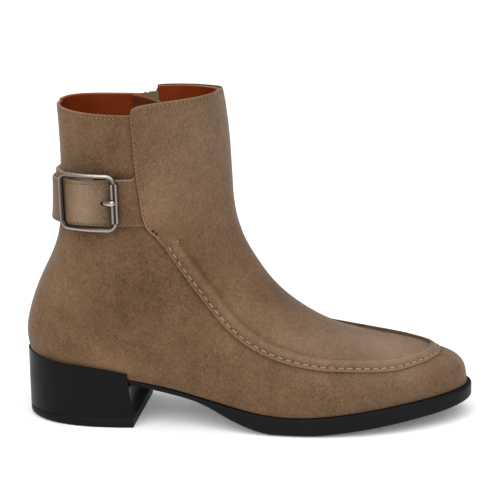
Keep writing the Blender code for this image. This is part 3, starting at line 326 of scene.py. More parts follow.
BELT_THINNED = 1.0  # by which the belt is thinner at the panel
BELT_THIN_LONG = 7.0  # girth over which it gets its full thickness
BELT_DENSE = 8.0  # girth from the panel with denser points
BELT_EDGE = 0.6  # width of the belt's pale cut edge
BAND_CLEAR = 0.56  # clearance under the band and over it, together
BAND_THICK = 2.6  # the most that the band swells to at the back
BELT_HOLE = (1.5, 1.4, 0.16)  # half sizes of the prong's hole: along the belt, across it and out
HOLE_PAST = 0.9  # from the prong's tip to the middle of its hole
BELT_ROWS = (1.4, 2.1)  # rows of stitches in from the belt's lower and upper edges
BUCKLE_MIDDLE = -45.8  # girth at the buckle's middle
BUCKLE_UP = 0.8  # by which it sits above the belt's middle
ZIP_TOP = (77.0, 187.0)  # x and height of the zip's ends
ZIP_FOOT = (80.5, 66.0)
GUARD_BACK, GUARD_FRONT = 67.0, 88.0  # x of the sides of the guard behind the zip
GUARD_TOP = 189.6  # its top edge at the back
GUARD_FALL = 6.4  # fall of that edge to the front
GUARD_LOW = 92.0  # its lower end
GUARD_INSIDE = (0.9, 1.9)  # from the lining to its two faces
TAPE_BACK, TAPE_FRONT = 73.8, 83.4  # x of the sides of the zip tape's ends
TAPE_SPLIT = 76.4  # x where the back one stops
TAPE_TOP = 191.0  # their tops, a little over the collar
TAPE_LOW = 178.0
TAPE_THICK = 0.55
TAPE_INSIDE = (0.1, 0.7)  # from the lining to the two faces of the tape's ends
TAPE_APART = 0.3  # x between the two ends
TOOTH = (1.65, 0.72, 0.62)  # half sizes of one tooth: across the zip, out and up
TOOTH_ASIDE = 0.75  # from the zip's middle line to a tooth's middle
TOOTH_OUT = 0.95  # and from the shaft

# Half sizes of one stitch or needle hole: along the seam, across it, and out
SEAM_STITCH = (1.90, 0.40, 0.34)
SEAM_HOLE = (0.64, 0.62, 0.20)
EDGE_STITCH = (0.75, 0.30, 0.18)
EDGE_HOLE = (0.42, 0.38, 0.10)
CORNER_HOLE = (0.80, 0.80, 0.14)
COLLAR_ROW = 2.2  # row of stitches under the quarters' edge
COLLAR_START = 1.5  # girth at which it starts beside the back seam
COLLAR_ENDS = (64.0, 44.0)  # and at which it ends on the outer and on the inner side
SEAM_TOP = 16.5  # section of the first stitch beside the raised seam
START_SECTION = 16.4  # section of the stitches across the start of the raised seam
START_IN = 5.8  # from the stitches beside it to that row
START_LONG = 1.9
START_LEAN = 0.2  # sections by which that row falls in one millimetre
START_STITCH = (0.75, 0.40, 0.32)
START_PITCH = 1.9
CORNER_SECTIONS = np.array([17.95, 17.67])  # sections of the two holes at the belt's corner
CORNER_IN = 0.5  # from the row of small stitches in to them

# Soft round patches of the nap's own brushed or rubbed tone and of painted light, shade and sheen:
# a place on the boot, a radius, the share of light added, and how far the colour goes to the greyed suede
NAP_TABLE = np.array([
    # x, y, z, radius, light, grey
    [93.0, -37.0, 134.0, 15.0, 0.36, 0.15],     # panel beside the belt
    [118.0, -26.0, 158.0, 34.0, 0.27, 0.35],    # front of the shaft
    [83.0, -35.0, 126.0, 9.0, 0.18, 0.00],      # panel's corner under the belt
    [104.0, -30.0, 112.0, 10.0, 0.14, 0.00],    # start of the raised seam
    [135.0, -28.0, 72.0, 13.0, 0.22, 0.10],
    [155.0, -33.0, 62.0, 20.0, 0.24, 0.20],     # raised seam on the flank
    [180.0, -30.0, 54.0, 20.0, 0.28, 0.40],
    [205.0, -8.0, 48.0, 28.0, 0.18, 0.50],      # field over the toes
    [228.0, -18.0, 40.0, 22.0, 0.24, 0.40],     # raised seam at the toe
    [226.0, -4.0, 45.0, 24.0, 0.38, 0.25],      # field behind it
    [89.0, -36.0, 94.0, 22.0, -0.20, 0.00],     # painted shade on the side of the ankle
    [39.0, -31.0, 92.0, 15.0, 0.20, 0.10],      # back of the heel
    [66.0, -34.0, 70.0, 20.0, -0.12, 0.00],     # side of the heel
    [68.0, -30.0, 38.0, 11.0, 0.24, 0.00],      # over the heel's corner
    [54.0, -30.0, 38.0, 15.0, 0.22, 0.00],
    [148.0, -36.0, 47.0, 12.0, -0.14, 0.00],    # flank under the raised seam
    [39.0, -28.0, 111.0, 10.0, 0.22, 0.00],     # back of the shaft under the belt
    [40.0, -26.0, 74.0, 13.0, 0.12, 0.00],
    [46.0, -30.0, 187.0, 13.0, 0.18, 0.00],     # back of the collar
    [226.0, -38.0, 22.0, 15.0, -0.12, 0.00],    # side of the toe
    [51.0, -34.0, 117.0, 8.0, -0.16, 0.00],     # painted shade under the buckle
    [122.0, -20.0, 186.0, 24.0, 0.06, 0.35],    # front of the collar
    [160.0, 0.0, 76.0, 16.0, -0.24, 0.30],      # painted shade where the instep bends away
    [60.0, -38.0, 159.0, 14.0, -0.28, 0.00],    # painted shadow of the belt, above it
    [205.0, -42.0, 22.0, 30.0, -0.06, 0.10],    # along the sole
])
EDGE_SHADE = 0.24  # by which the nap is darker beside the panel's edge
EDGE_SHADE_WIDE = 2.2
BELT_SHADES = ((123.6, 0.34, 2.8), (152.8, 0.42, 3.0))  # height, darkness and width beside the belt
# Painted light and shade on the belt's nap
BELT_NAP = (
    # girth from the buckle's middle, reach, light
    (3.8, 10.8, 0.80),      # painted light on the belt's bulge in the buckle's window
    (-12.4, 2.0, -0.45),    # in shade under the roller
    (18.2, 1.7, -0.75),     # in shade behind the frame's bar
)
BELT_GREY = (0.85, 13.0)  # greying of the nap in the buckle's window, and its reach
BELT_END_SHADE = (0.45, 1.2)  # darkness and width of the joint between the belt and the panel
# Painted light and shade on the raised seam's nap, and their widths: painted highlights on its flange, its
# crest and the line where the near toe catches light, painted shade in the groove under the stitches and on
# its inner side
NAP_FLANGE = 0.10
NAP_CREST = 0.24
NAP_LINE = (0.20, 0.8)
NAP_GROOVE = (0.15, 0.7)
NAP_SHADE_NEAR, NAP_SHADE_FAR = 0.26, 0.75
NAP_SHADE_WIDE, NAP_FAR_WIDER = 1.7, 1.1
WALL_DARK = -0.75  # painted shadow on the nap at the foot of a cut edge
CUT_WIDE = 1.0  # width of the panel's pale cut edge on the shaft
CUT_SHOWN = 0.2  # how much of it is left along the raised seam
RIM_WIDE = 0.45  # width of the pale cut edge round the collar
RIM_SHOWN = 0.35  # and how pale it is
FLOOR_GLOW = 0.15  # light of the sweep's own, which keeps it white behind the boot

# Camera of the photo in the boot's frame
CAMERA_PLACE = (268.11, -930.08, 340.88)
CAMERA_TURN = 7.77  # degrees towards the toe
CAMERA_RISE = 14.3  # degrees above the horizon
CAMERA_ROLL = 1.54
CAMERA_LENS = 117.82  # millimetres on a 36 mm sensor

UP = np.array([0.0, 0.0, 1.0])
# Where the boot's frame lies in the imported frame, read from the insole's back end
SHIFT = np.array([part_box("insole")[0].x / MM - HEEL_BACK[0] - WALL - INSOLE_CLEAR, 0.0, 0.0])


def linear(code):
    """Linear colour of an sRGB hex code."""
    part = np.array([int(code[i:i + 2], 16) for i in (1, 3, 5)]) / 255.0
    return tuple(np.where(part <= 0.04045, part / 12.92, ((part + 0.055) / 1.055) ** 2.4))


def spline(knots, values, at):
    """Natural cubic spline through rows of values at the knots, read at the places asked for."""
    count = len(knots)
    step = np.diff(knots)
    slope = np.diff(values, axis=0) / step[:, None]
    bend = np.zeros_like(values)
    inner = np.diag(2.0 * (step[:-1] + step[1:]))
    inner += np.diag(step[1:-1], 1) + np.diag(step[1:-1], -1)
    bend[1:-1] = np.linalg.solve(inner, 6.0 * np.diff(slope, axis=0))
    place = np.clip(np.searchsorted(knots, at, side="right") - 1, 0, count - 2)
    run = (at - knots[place])[:, None]
    long = step[place][:, None]
    first, last = bend[place], bend[place + 1]
    rate = slope[place] - long * (2.0 * first + last) / 6.0
    return values[place] + run * rate + run ** 2 * first / 2.0 + run ** 3 * (last - first) / (6.0 * long)


def along(points, power=1.0):
    """Distance along each row of points, from zero, with every step raised to a power."""
    steps = np.linalg.norm(np.diff(points, axis=-2), axis=-1) ** power
    start = np.zeros_like(steps[..., :1])
    return np.concatenate([start, np.cumsum(steps, axis=-1)], axis=-1)


def smooth_step(value):
    """Soft ramp from 0 to 1 as the value goes from 0 to 1."""
    value = np.clip(value, 0.0, 1.0)
    return value * value * (3.0 - 2.0 * value)


def bell(value):
    """Bell curve that is 1 at zero."""
    return np.exp(-value * value)


def mound(distance, amount, width):
    """Bell curve of an amount and a width around distance zero."""
    return amount * bell(distance / width)


def shaped(wave, square):
    """Sine or cosine bent so that a circle of both becomes a superellipse."""
    return np.sign(wave) * np.abs(wave) ** (2.0 / square)


def edge_drop(distance, radius):
    """Quarter circle by which a surface falls within a radius of its edge."""
    near = np.clip(1.0 - distance / radius, 0.0, 1.0)
    return radius * (1.0 - np.sqrt(1.0 - near * near))


def unit(vectors):
    """Vectors scaled to length one."""
    return vectors / np.linalg.norm(vectors, axis=-1, keepdims=True)


def resample(path, at):
    """Points of a path at distances along it, straight between its points."""
    place = along(path)
    return np.column_stack([np.interp(at, place, axis) for axis in path.T])


def even_points(path, count):
    """The same path with the points evenly spaced."""
    return resample(path, np.linspace(0.0, along(path)[-1], count))


def plan_halves(count=1200):
    """Outer and inner feather edge of the last in plan, each from the heel's back to the toe tip."""
    outer = PLAN_TABLE[:, [0, 1]] * (1.0, -1.0)
    inner = PLAN_TABLE[::-1, [0, 2]]
    loop = np.vstack([[HEEL_BACK], outer, [TOE_TIP], inner])
    lap = 5
    wrapped = np.vstack([loop[-lap:], loop, loop[:lap + 1]])
    place = along(wrapped, 0.75)
    ends = place[lap], place[lap + len(outer) + 1], place[lap + len(loop)]
    first = spline(place, wrapped, np.linspace(ends[0], ends[1], count))
    second = spline(place, wrapped, np.linspace(ends[1], ends[2], count))[::-1]
    return first, second


def section_ribs(sections, count):
    """Half sections of the upper as points [section, column, xyz], outer side first, with the
    columns evenly spaced along each half from the feather edge over the crest to the other edge.

    Above its widest place a half section is a quarter of a superellipse.  Below, the quarter is
    cut off where it reaches the feather edge, and in the shaft it closes at the back seam.
    """
    crest = SECTION_TABLE[:, [0, 2]]
    low = SECTION_TABLE[:, [3, 4]]
    steps = np.linalg.norm(np.diff(crest, axis=0), axis=1) + np.linalg.norm(np.diff(low, axis=0), axis=1)
    place = np.concatenate([[0.0], np.cumsum(steps ** 0.8)])
    at = np.interp(sections, np.arange(len(place)), place)
    row = spline(place, SECTION_TABLE, at)
    crest_x, crest_y, crest_z, low_x, low_z, outer, inner, widest, square = row.T[:, :, None]
    turn = np.linspace(0.0, np.pi / 2.0, RIB_POINTS)
    halves = []
    for side, half_width, edge in ((-1.0, outer, plan_halves()[0]), (1.0, inner, plan_halves()[1])):
        foot = side * (np.interp(low_x, edge[:, 0], edge[:, 1]) - crest_y)
        foot = np.where(sections[:, None] < HEEL_SECTION, np.maximum(foot, 0.0), 0.0)
        wide = np.maximum(half_width, foot + 0.05)
        power = 2.0 / square
        reach = (1.0 - (foot / wide) ** square) ** (1.0 / square)
        lower_turn = np.arcsin(reach ** (square / 2.0)) * np.linspace(0.0, 1.0, RIB_POINTS)
        upper_down = widest * (1.0 - np.cos(turn) ** power)
        lower_down = widest + (1.0 - widest) * np.sin(lower_turn) ** power / reach
        down = np.hstack([upper_down, lower_down[:, 1:]])
        out = np.hstack([wide * np.sin(turn) ** power, (wide * np.cos(lower_turn) ** power)[:, 1:]])
        points = np.stack([
            crest_x + down * (low_x - crest_x),
            crest_y + side * out,
            crest_z + down * (low_z - crest_z),
        ], axis=-1)
        halves.append(np.array([even_points(rib, count) for rib in points]))
    return np.concatenate([halves[0][:, ::-1], halves[1][:, 1:]], axis=1)


def grid_normals(grid):
    """Outward unit normals of a grid of points [section, column, xyz]."""
    normal = np.cross(np.gradient(grid, axis=1), np.gradient(grid, axis=0))
    size = np.linalg.norm(normal, axis=-1, keepdims=True)
    return np.where(size > 1e-9, normal / np.maximum(size, 1e-9), (1.0, 0.0, 0.0))


def look_up(grid, row, column):
    """Read a grid between its points; row and column count in grid steps."""
    row = np.clip(row, 0.0, grid.shape[0] - 1.001)
    column = np.clip(column, 0.0, grid.shape[1] - 1.001)
    top = row.astype(int)
    left = column.astype(int)
    down = (row - top)[..., None]
    over = (column - left)[..., None]
    upper = grid[top, left] * (1.0 - over) + grid[top, left + 1] * over
    lower = grid[top + 1, left] * (1.0 - over) + grid[top + 1, left + 1] * over
    return upper * (1.0 - down) + lower * down


def crease_depth(section, across):
    """Depth of the soft creases: each is a bell across its line, faded by a bell along it."""
    total = np.zeros(np.broadcast(section, across).shape)
    for start, lean, middle, reach, width, depth in CREASE_TABLE:
        line = start + lean * np.abs(across)
        total += depth * bell((section - line) / width) * bell((across - middle) / reach)
    return total


class Last:
    """The upper's outside as a surface, read by section and reach or by girth and height."""

    STEPS = 24  # grid rows in one section
    COLUMNS = 201  # grid columns in one half
    LOW, HIGH = 60, 196  # heights that the chart of the shaft covers
    GIRTH = 110  # girth on each side of the back seam in that chart

    def __init__(self):
        last = len(SECTION_TABLE) - 1
        self.sections = np.linspace(0.0, last, last * self.STEPS + 1)
        self.grid = section_ribs(self.sections, self.COLUMNS)
        self.normals = grid_normals(self.grid)
        seam = self.sections >= HEEL_SECTION
        self.normals[seam, 0, 1] = 0.0
        self.normals[seam, -1, 1] = 0.0
        self.normals = unit(self.normals)
        middle = self.COLUMNS - 1
        self.half_outer = along(self.grid[:, :middle + 1])[:, -1]
        self.half_inner = along(self.grid[:, middle:])[:, -1]
        self.chart = self.shaft_chart()
        self.chart_normals = -grid_normals(self.chart)

    def normal(self, section, across):
        """Outward normals at a section and across it."""
        return unit(look_up(self.normals, section * self.STEPS, (across + 1.0) * (self.COLUMNS - 1)))

    def at(self, section, across, lift=0.0):
        """Points at a section and across it: -1 outer edge, 0 crest, 1 inner edge."""
        section, across = np.broadcast_arrays(section, across)
        lift = np.asarray(lift - crease_depth(section, across))
        point = look_up(self.grid, section * self.STEPS, (across + 1.0) * (self.COLUMNS - 1))
        return point + self.normal(section, across) * lift[..., None]

    def across(self, section, reach):
        """Turn a distance from the crest along a section into its place across."""
        outer = np.interp(section, self.sections, self.half_outer)
        inner = np.interp(section, self.sections, self.half_inner)
        return reach / np.where(reach < 0.0, outer, inner)

    def column_heights(self, across):
        """Sections of the shaft, and the heights of columns at them as [section, column]."""
        sections = self.sections[self.sections >= CHART_SECTION]
        column = (np.asarray(across) + 1.0) * (self.COLUMNS - 1)
        place = np.broadcast_arrays(sections[:, None] * self.STEPS, column)
        return sections, look_up(self.grid, *place)[..., 2]

    def section_at_height(self, across, height):
        """Section at which each column of the shaft reaches its height."""
        sections, levels = self.column_heights(across)
        return np.array([np.interp(z, level, sections) for z, level in zip(height, levels.T)])

    def shaft_chart(self):
        """Points of the shaft on a grid of whole heights and whole girths."""
        heights = np.arange(self.LOW, self.HIGH + 1.0)
        girths = np.arange(-self.GIRTH, self.GIRTH + 1.0)
        parts = []
        for side, wanted in ((-1.0, girths[girths <= 0.0]), (1.0, girths[girths > 0.0])):
            across = side * np.linspace(1.0, 0.1, 220)
            sections, levels = self.column_heights(across)
            section = np.array([np.interp(heights, level, sections) for level in levels.T]).T
            rings = self.at(section, across[None, :])
            parts.append(np.array([resample(ring, np.abs(wanted)) for ring in rings]))
        return np.concatenate(parts, axis=1)

    def on_shaft(self, girth, height, lift=0.0):
        """Points of the shaft at a girth from the back seam and a height."""
        girth, height = np.broadcast_arrays(girth, height)
        place = height - self.LOW, girth + self.GIRTH
        lift = np.broadcast_to(lift, girth.shape)
        return look_up(self.chart, *place) + self.shaft_normal(girth, height) * lift[..., None]

    def shaft_normal(self, girth, height):
        """Outward normals of the shaft at a girth and a height."""
        girth, height = np.broadcast_arrays(girth, height)
        return unit(look_up(self.chart_normals, height - self.LOW, girth + self.GIRTH))

    def girth_at(self, x, height, side):
        """Girth at which the shaft has the given x, for each height: side -1 outer, 1 inner."""
        girths = side * np.arange(0.0, self.GIRTH + 1)
        rings = self.on_shaft(girths[None, :], np.asarray(height)[:, None])[..., 0]
        return np.array([np.interp(place, ring, girths) for place, ring in zip(x, rings)])


LAST = Last()


def panel_rim(x, across):
    """Height of the front panel's top edge: a power curve, flatter on the inner side behind the front."""
    share = np.clip((x - PANEL_CORNER[0]) / (PANEL_FRONT[0] - PANEL_CORNER[0]), 0.0, 1.0)
    outer = PANEL_CORNER[1] + (PANEL_FRONT[1] - PANEL_CORNER[1]) * share ** RIM_BEND
    corner, front = INNER_RIM_ENDS
    rise = (PANEL_FRONT[1] - front) * share ** INNER_RIM_RISE
    inner = corner + (front - corner) * share ** INNER_RIM_BEND + rise
    return np.where(across > 0.0, inner, outer)


def quarter_rim(x):
    """Height of the quarters' top edge, dipping from the back seam to the panel."""
    share = np.clip((QUARTER_LOW[0] - x) / (QUARTER_LOW[0] - QUARTER_BACK[0]), 0.0, 1.0)
    return QUARTER_LOW[1] + (QUARTER_BACK[1] - QUARTER_LOW[1]) * share ** 2


def panel_edge(count):
    """Section, outer reach and inner reach along the panel's edge, from the collar to the toe."""
    scale = (SECTION_SCALE, 1.0, 1.0)
    place = along(PANEL_TABLE * scale)
    path = spline(place, PANEL_TABLE * scale, np.linspace(0.0, place[-1], 1200))
    return np.maximum(even_points(path, count) / scale, 0.0)


def panel_reach(section, side):
    """Distance from the crest to the panel's edge at a section: side -1 outer, 1 inner."""
    edge = panel_edge(400)[::-1]
    return np.interp(section, edge[:, 0], edge[:, 1 if side < 0.0 else 2])


def sole_at(x):
    """Top edge, underside and welt of the sole at x."""
    return spline(SOLE_TABLE[:, 0], SOLE_TABLE[:, 1:], np.asarray(x, float)).T


def plan_ring(count, margin):
    """Plan outline with a margin: the outer half from back to front, then the inner half back."""
    halves = []
    for side, edge in zip((-1.0, 1.0), plan_halves()):
        run = along(edge)
        at = run[-1] * (1.0 - np.cos(np.linspace(0.0, np.pi, count))) / 2.0
        point = resample(edge, at)
        ahead = unit(np.column_stack([np.interp(at, run, axis) for axis in np.gradient(edge, axis=0).T]))
        aside = side * np.column_stack([-ahead[:, 1], ahead[:, 0]])
        amount = margin(point[:, 0]) if callable(margin) else margin
        halves.append(point + aside * np.reshape(amount, (-1, 1)))
    outer, inner = halves
    outer[0] = inner[0] = (outer[0] + inner[0]) / 2.0
    outer[-1] = inner[-1] = (outer[-1] + inner[-1]) / 2.0
    return np.vstack([outer, inner[::-1]])


def across_ring(ring, steps):
    """Grid that fills a plan ring from its outer half straight across to its inner half."""
    half = len(ring) // 2
    share = np.linspace(0.0, 1.0, steps)[None, :, None]
    return ring[:half][:, None] * (1.0 - share) + ring[:half - 1:-1][:, None] * share


def raised(ring, height):
    """Plan ring set at a height, which may follow x."""
    return np.column_stack([ring, height(ring[:, 0]) if callable(height) else np.full(len(ring), height)])


def nap_at(points):
    """Light added to the nap, painted light and shade with some of its own tone, and its greying,
    partly painted sheen, at points: the sum of soft round patches.
    """
    light = np.zeros(points.shape[:-1])
    grey = np.zeros(points.shape[:-1])
    for *place, radius, lighter, greyer in NAP_TABLE:
        share = bell(np.linalg.norm(points - place, axis=-1) / radius)
        light += lighter * share
        grey += greyer * share
    return light, grey


def nap_beside(points):
    """Painted shadow on the upper's nap beside other pieces: a bell around the panel's edge and one
    above and below the belt."""
    section, outer, inner = panel_edge(300).T
    line = np.concatenate([LAST.at(section, LAST.across(section, reach)) for reach in (-outer, inner)])
    away = np.array([np.linalg.norm(row[:, None] - line, axis=-1).min(axis=1) for row in points])
    light = mound(away, -EDGE_SHADE, EDGE_SHADE_WIDE)
    for height, dark, wide in BELT_SHADES:
        light -= mound(points[..., 2] - height, dark, wide)
    return light


def cut_marks(edge, light, grey):
    """Marks of a sheet's outside, then of its inside, so that a cut edge has a painted shadow at its foot."""
    inside = 0.0 * edge, np.full(light.shape, WALL_DARK), grey
    return [np.concatenate(pair) for pair in zip((edge, light, grey), inside)]


def twice(*marks):
    """Marks of a sheet's outside, repeated for its inside."""
    return [np.concatenate([mark, mark]) for mark in marks]


def grid_quads(shape, start=0):
    """Quads of grids whose points are numbered item by item and row by row."""
    number = start + np.arange(np.prod(shape)).reshape(shape)
    corners = number[..., :-1, :-1], number[..., :-1, 1:], number[..., 1:, 1:], number[..., 1:, :-1]
    return np.stack(corners, axis=-1).reshape(-1, 4)


def strip_quads(first, second):
    """Quads between two rows of point numbers."""
    return np.stack([first[:-1], first[1:], second[1:], second[:-1]], axis=-1)


def grids(points):
    """Shape made of grids [item, row, column, xyz] whose seams and poles are merged later."""
    points = points.reshape((-1,) + points.shape[-3:])
    return points.reshape(-1, 3), grid_quads(points.shape[:-1])


def sheet(outside, inside, open_sides=("start", "end", "low", "high")):
    """Shape between two matching grids, walled along the sides that stay open."""
    number = np.arange(outside.shape[0] * outside.shape[1]).reshape(outside.shape[:2])
    total = number.size
    sides = {"start": number[0], "end": number[-1], "low": number[:, 0], "high": number[:, -1]}
    quads = [grid_quads(number.shape), grid_quads(number.shape, total)]
    quads += [strip_quads(sides[side], sides[side] + total) for side in open_sides]
    points = np.concatenate([outside.reshape(-1, 3), inside.reshape(-1, 3)])
    return points, np.concatenate(quads)


def stack(rings):
    """Shape of closed rings, one above the other, with flat ends drawn in to their middles."""
    rings = np.asarray(rings)
    first = np.broadcast_to(rings[0].mean(axis=0), rings[0].shape)
    last = np.broadcast_to(rings[-1].mean(axis=0), rings[-1].shape)
    rings = np.concatenate([first[None], rings, last[None]])
    return grids(np.concatenate([rings, rings[:, :1]], axis=1))


def tube(path, radius, sides, away, square=2.0):
    """Superellipse carried along a path, its first axis turned away from a direction."""
    ahead = unit(np.gradient(path, axis=0))
    first = unit(np.cross(ahead, away))
    second = np.cross(ahead, first)
    angle = np.linspace(0.0, 2.0 * np.pi, sides + 1)[None, :, None]
    wave = np.cos(angle), np.sin(angle)
    across, up = (shaped(part, square) for part in wave)
    size = np.broadcast_to(radius, len(path))[:, None, None]
    return path[:, None] + size * (across * first[:, None] + up * second[:, None])


def rounded_block(half, square, rows=12, columns=24):
    """Superellipsoid of half sizes as a grid from pole to pole."""
    turn = np.linspace(-np.pi / 2.0, np.pi / 2.0, rows)[:, None]
    round_turn = np.linspace(0.0, 2.0 * np.pi, columns + 1)[None, :]
    ring = shaped(np.cos(turn), square)
    parts = ring * shaped(np.cos(round_turn), square), ring * shaped(np.sin(round_turn), square)
    return np.stack([*parts, shaped(np.sin(turn), square) + 0.0 * round_turn], axis=-1) * half


def join(*shapes):
    """Several shapes as one."""
    points = np.concatenate([shape[0] for shape in shapes])
    starts = np.cumsum([0] + [len(shape[0]) for shape in shapes[:-1]])
    return points, np.concatenate([shape[1] + start for shape, start in zip(shapes, starts)])


def to_frame(points):
    """Points of the boot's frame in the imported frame, in metres."""
    return (points + SHIFT) * MM


def new_piece(name, shape, look, slot, replaces=(), body="boot", sharp=40.0, **marks):
    """Object from a shape in millimetres with one finish, with marks kept as point attributes for it."""
    points, quads = shape
    mesh = bpy.data.meshes.new(name)
    mesh.vertices.add(len(points))
    mesh.vertices.foreach_set("co", to_frame(points).astype(np.float32).ravel())
    mesh.loops.add(quads.size)
    mesh.loops.foreach_set("vertex_index", quads.astype(np.int32).ravel())
    mesh.polygons.add(len(quads))
    mesh.polygons.foreach_set("loop_start", np.arange(0, quads.size, 4, dtype=np.int32))
    mesh.update(calc_edges=True)
    for mark, values in marks.items():
        layer = mesh.attributes.new(mark, "FLOAT", "POINT")
        layer.data.foreach_set("value", np.ravel(values).astype(np.float32))
    work = bmesh.new()
    work.from_mesh(mesh)
    bmesh.ops.remove_doubles(work, verts=work.verts, dist=2e-7)
    bmesh.ops.dissolve_degenerate(work, edges=work.edges, dist=1e-8)
    bmesh.ops.recalc_face_normals(work, faces=work.faces)
    work.to_mesh(mesh)
    work.free()
    mesh.shade_smooth()
    mesh.set_sharp_from_angle(angle=np.radians(sharp))
    mesh.materials.append(finish(look))
    piece = bpy.data.objects.new(name, mesh)
    bpy.context.collection.objects.link(piece)
    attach(piece, body)
    if replaces:
        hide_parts(*replaces)
    return piece


def upper_chart(rows, shaft_rows, columns, drop):
    """Section and across of the upper's grid, from the toe's feather edge to the collar.

    Above one section the rows lean so that the last row is the collar's edge, which lies a drop
    under the panel's and the quarters' edges.
    """
    across = np.linspace(-1.0, 1.0, columns)
    rim_x = LAST.at(np.full(columns, RIM_SECTION), across)[:, 0]
    under_panel = panel_rim(rim_x - RIM_BACK, across) - GAP
    quarter = quarter_rim(rim_x) + INNER_RIM * smooth_step(across / 0.3)
    rim = np.where(rim_x > PANEL_CORNER[0] + RIM_BACK, under_panel, quarter) - drop
    top = LAST.section_at_height(across, rim)
    low = np.concatenate([np.linspace(0.0, 2.0, rows // 6), np.linspace(2.0, SHAFT_SECTION, rows)[1:]])
    lean = 1.0 - (1.0 - np.linspace(0.0, 1.0, shaft_rows)) ** 1.5
    shaft = SHAFT_SECTION + lean[1:, None] * (top - SHAFT_SECTION)[None, :]
    section = np.concatenate([np.repeat(low[:, None], columns, axis=1), shaft])
    return section, np.repeat(across[None, :], len(section), axis=0)


def rim_distance(grid):
    """Distance of each point of a grid from its last row, along the columns."""
    run = along(np.moveaxis(grid, 0, 1)).T
    return run[-1] - run


def panel_chart(depths):
    """Section, across, depth from the edge and distance from the rim on the front panel.

    Rows follow the edge from the outer collar corner round the toe to the inner corner.  Columns
    run from the edge to the middle line, first at the given depths and then in even steps.
    """
    section, outer, inner = panel_edge(PANEL_PLACES).T
    share = np.linspace(0.0, 1.0, PANEL_PLACES)
    middle = np.maximum(section, PANEL_FAN + (section - PANEL_TABLE[-1, 0]) * FAN_RATE)
    fade = np.clip(1.0 - share / RIM_FADE, 0.0, 1.0)[:, None]
    fine = np.linspace(0.0, 1.0, 160)
    halves = []
    for reach in (-outer, inner):
        across = LAST.across(section, reach)[:, None] * (1.0 - fine)
        rim_x = LAST.at(np.full(len(fine), RIM_SECTION), across[0])[:, 0]
        rim_section = LAST.section_at_height(across[0], panel_rim(rim_x, across[0]))
        sections = section[:, None] + (middle - section)[:, None] * fine
        sections = sections + fade * (rim_section - sections[0])[None, :]
        run = along(LAST.at(sections, across))
        steps = np.linspace(0.0, 1.0, PANEL_FIELD)[1:]
        depth = np.concatenate([
            np.repeat(depths[None, :], PANEL_PLACES, axis=0),
            depths[-1] + (run[:, -1:] - depths[-1]) * steps,
        ], axis=1)
        rows = zip(depth, run, sections, across)
        halves.append(np.array([[np.interp(d, r, s), np.interp(d, r, a), d] for d, r, s, a in rows]))
    chart = np.moveaxis(np.concatenate([halves[0], halves[1][-2::-1]]), 1, 0)
    run = along(np.moveaxis(LAST.at(chart[0], chart[1]), 0, 1)).T
    return chart[0], chart[1], chart[2], np.minimum(run, run[-1] - run)


def ridge_in(section, sizes):
    """Distance from the panel's edge to the crest of the raised seam, less at the toe."""
    start, end = RIDGE_SHIFT
    share = smooth_step((section - start) / (end - start))
    return RIDGE_TOE_IN + (sizes.ridge_in - RIDGE_TOE_IN) * share


def panel_lift(section, depth, rim, run, sizes):
    """Height of the panel's outside above the upper.

    From the edge inwards it has a rounded cut edge, a flange, a groove under the stitches, the
    raised seam with a pucker at each stitch, and a groove before the flat field.
    """
    inset, half = ridge_in(section, sizes), sizes.ridge_half
    from_edge, from_stitches = np.minimum(depth, rim), depth - sizes.seam_in
    strength = smooth_step((RIDGE_START - section) / RIDGE_FADE)
    toe = smooth_step((TOE_SECTION - section) / 2.0)
    outer_half = inset - sizes.seam_in - 0.3
    reach = np.clip((depth - inset) / np.where(depth < inset, outer_half, half), -1.0, 1.0)
    hump = sizes.ridge_high * (1.0 - TOE_LOWER * toe) * (1.0 - reach * reach) ** 0.9
    wave = 0.5 + 0.5 * np.cos(2.0 * np.pi * run / sizes.seam_pitch)
    pucker = wave * mound(from_stitches - PUCKER_PAST, *PUCKER)
    grooves = mound(from_stitches, *GROOVE) + mound(depth - inset - half, *INNER_GROOVE)
    thin = SKIVED * smooth_step(1.0 - depth / inset) * smooth_step((SKIVE_START - section) / 2.0)
    sunk = mound(section - PLUG_SECTION, PLUG_SUNK, PLUG_LONG)
    sunk = sunk * smooth_step((depth - inset - 0.5 * half) / PLUG_SIDE)
    seam = hump - grooves - pucker - thin - sunk
    edge_dip = (1.0 - strength) * mound(from_edge - sizes.edge_in, *EDGE_DIP)
    return GAP + sizes.panel_thick + strength * seam - edge_dip - edge_drop(from_edge, CUT_ROUND)


def panel_nap(section, across, depth, sizes):
    """Painted light and shade on the raised seam: painted highlights on its flange and crest, painted shade
    under the stitches and on its inner side, deepest where that side faces outwards and lightest on the near
    toe."""
    inset, half = ridge_in(section, sizes), sizes.ridge_half
    strength = smooth_step((RIDGE_START - section) / RIDGE_FADE)
    far = smooth_step((across + 0.15) / 0.3)
    toe = smooth_step((SKIVE_START + 1.0 - section) / 3.0)
    flange = NAP_FLANGE * smooth_step(1.5 - depth / sizes.seam_in)
    crest = mound(depth - inset + 0.5, NAP_CREST, half)
    crest_line = toe * (1.0 - far) * mound(depth - inset - 0.4 * half, *NAP_LINE)
    seam_groove = mound(depth - sizes.seam_in, *NAP_GROOVE)
    shade = far * NAP_SHADE_FAR + (1.0 - far) * (1.0 - toe) * NAP_SHADE_NEAR
    inner_side = mound(depth - inset - 0.9 * half, shade, NAP_SHADE_WIDE + NAP_FAR_WIDER * far)
    return strength * (flange + crest + crest_line - seam_groove - inner_side)


def panel_girth(height):
    """Girth at which the panel's outer edge crosses each height of the shaft."""
    section, outer = panel_edge(400).T[:2]
    edge = LAST.at(section, LAST.across(section, -outer))
    order = np.argsort(edge[:, 2])
    return LAST.girth_at(np.interp(height, edge[order, 2], edge[order, 0]), height, -1)


def zip_girth(height):
    """Girth of the zip's middle line on the inner side at each height."""
    share = (ZIP_TOP[1] - height) / (ZIP_TOP[1] - ZIP_FOOT[1])
    return LAST.girth_at(ZIP_TOP[0] + share * (ZIP_FOOT[0] - ZIP_TOP[0]), height, 1)


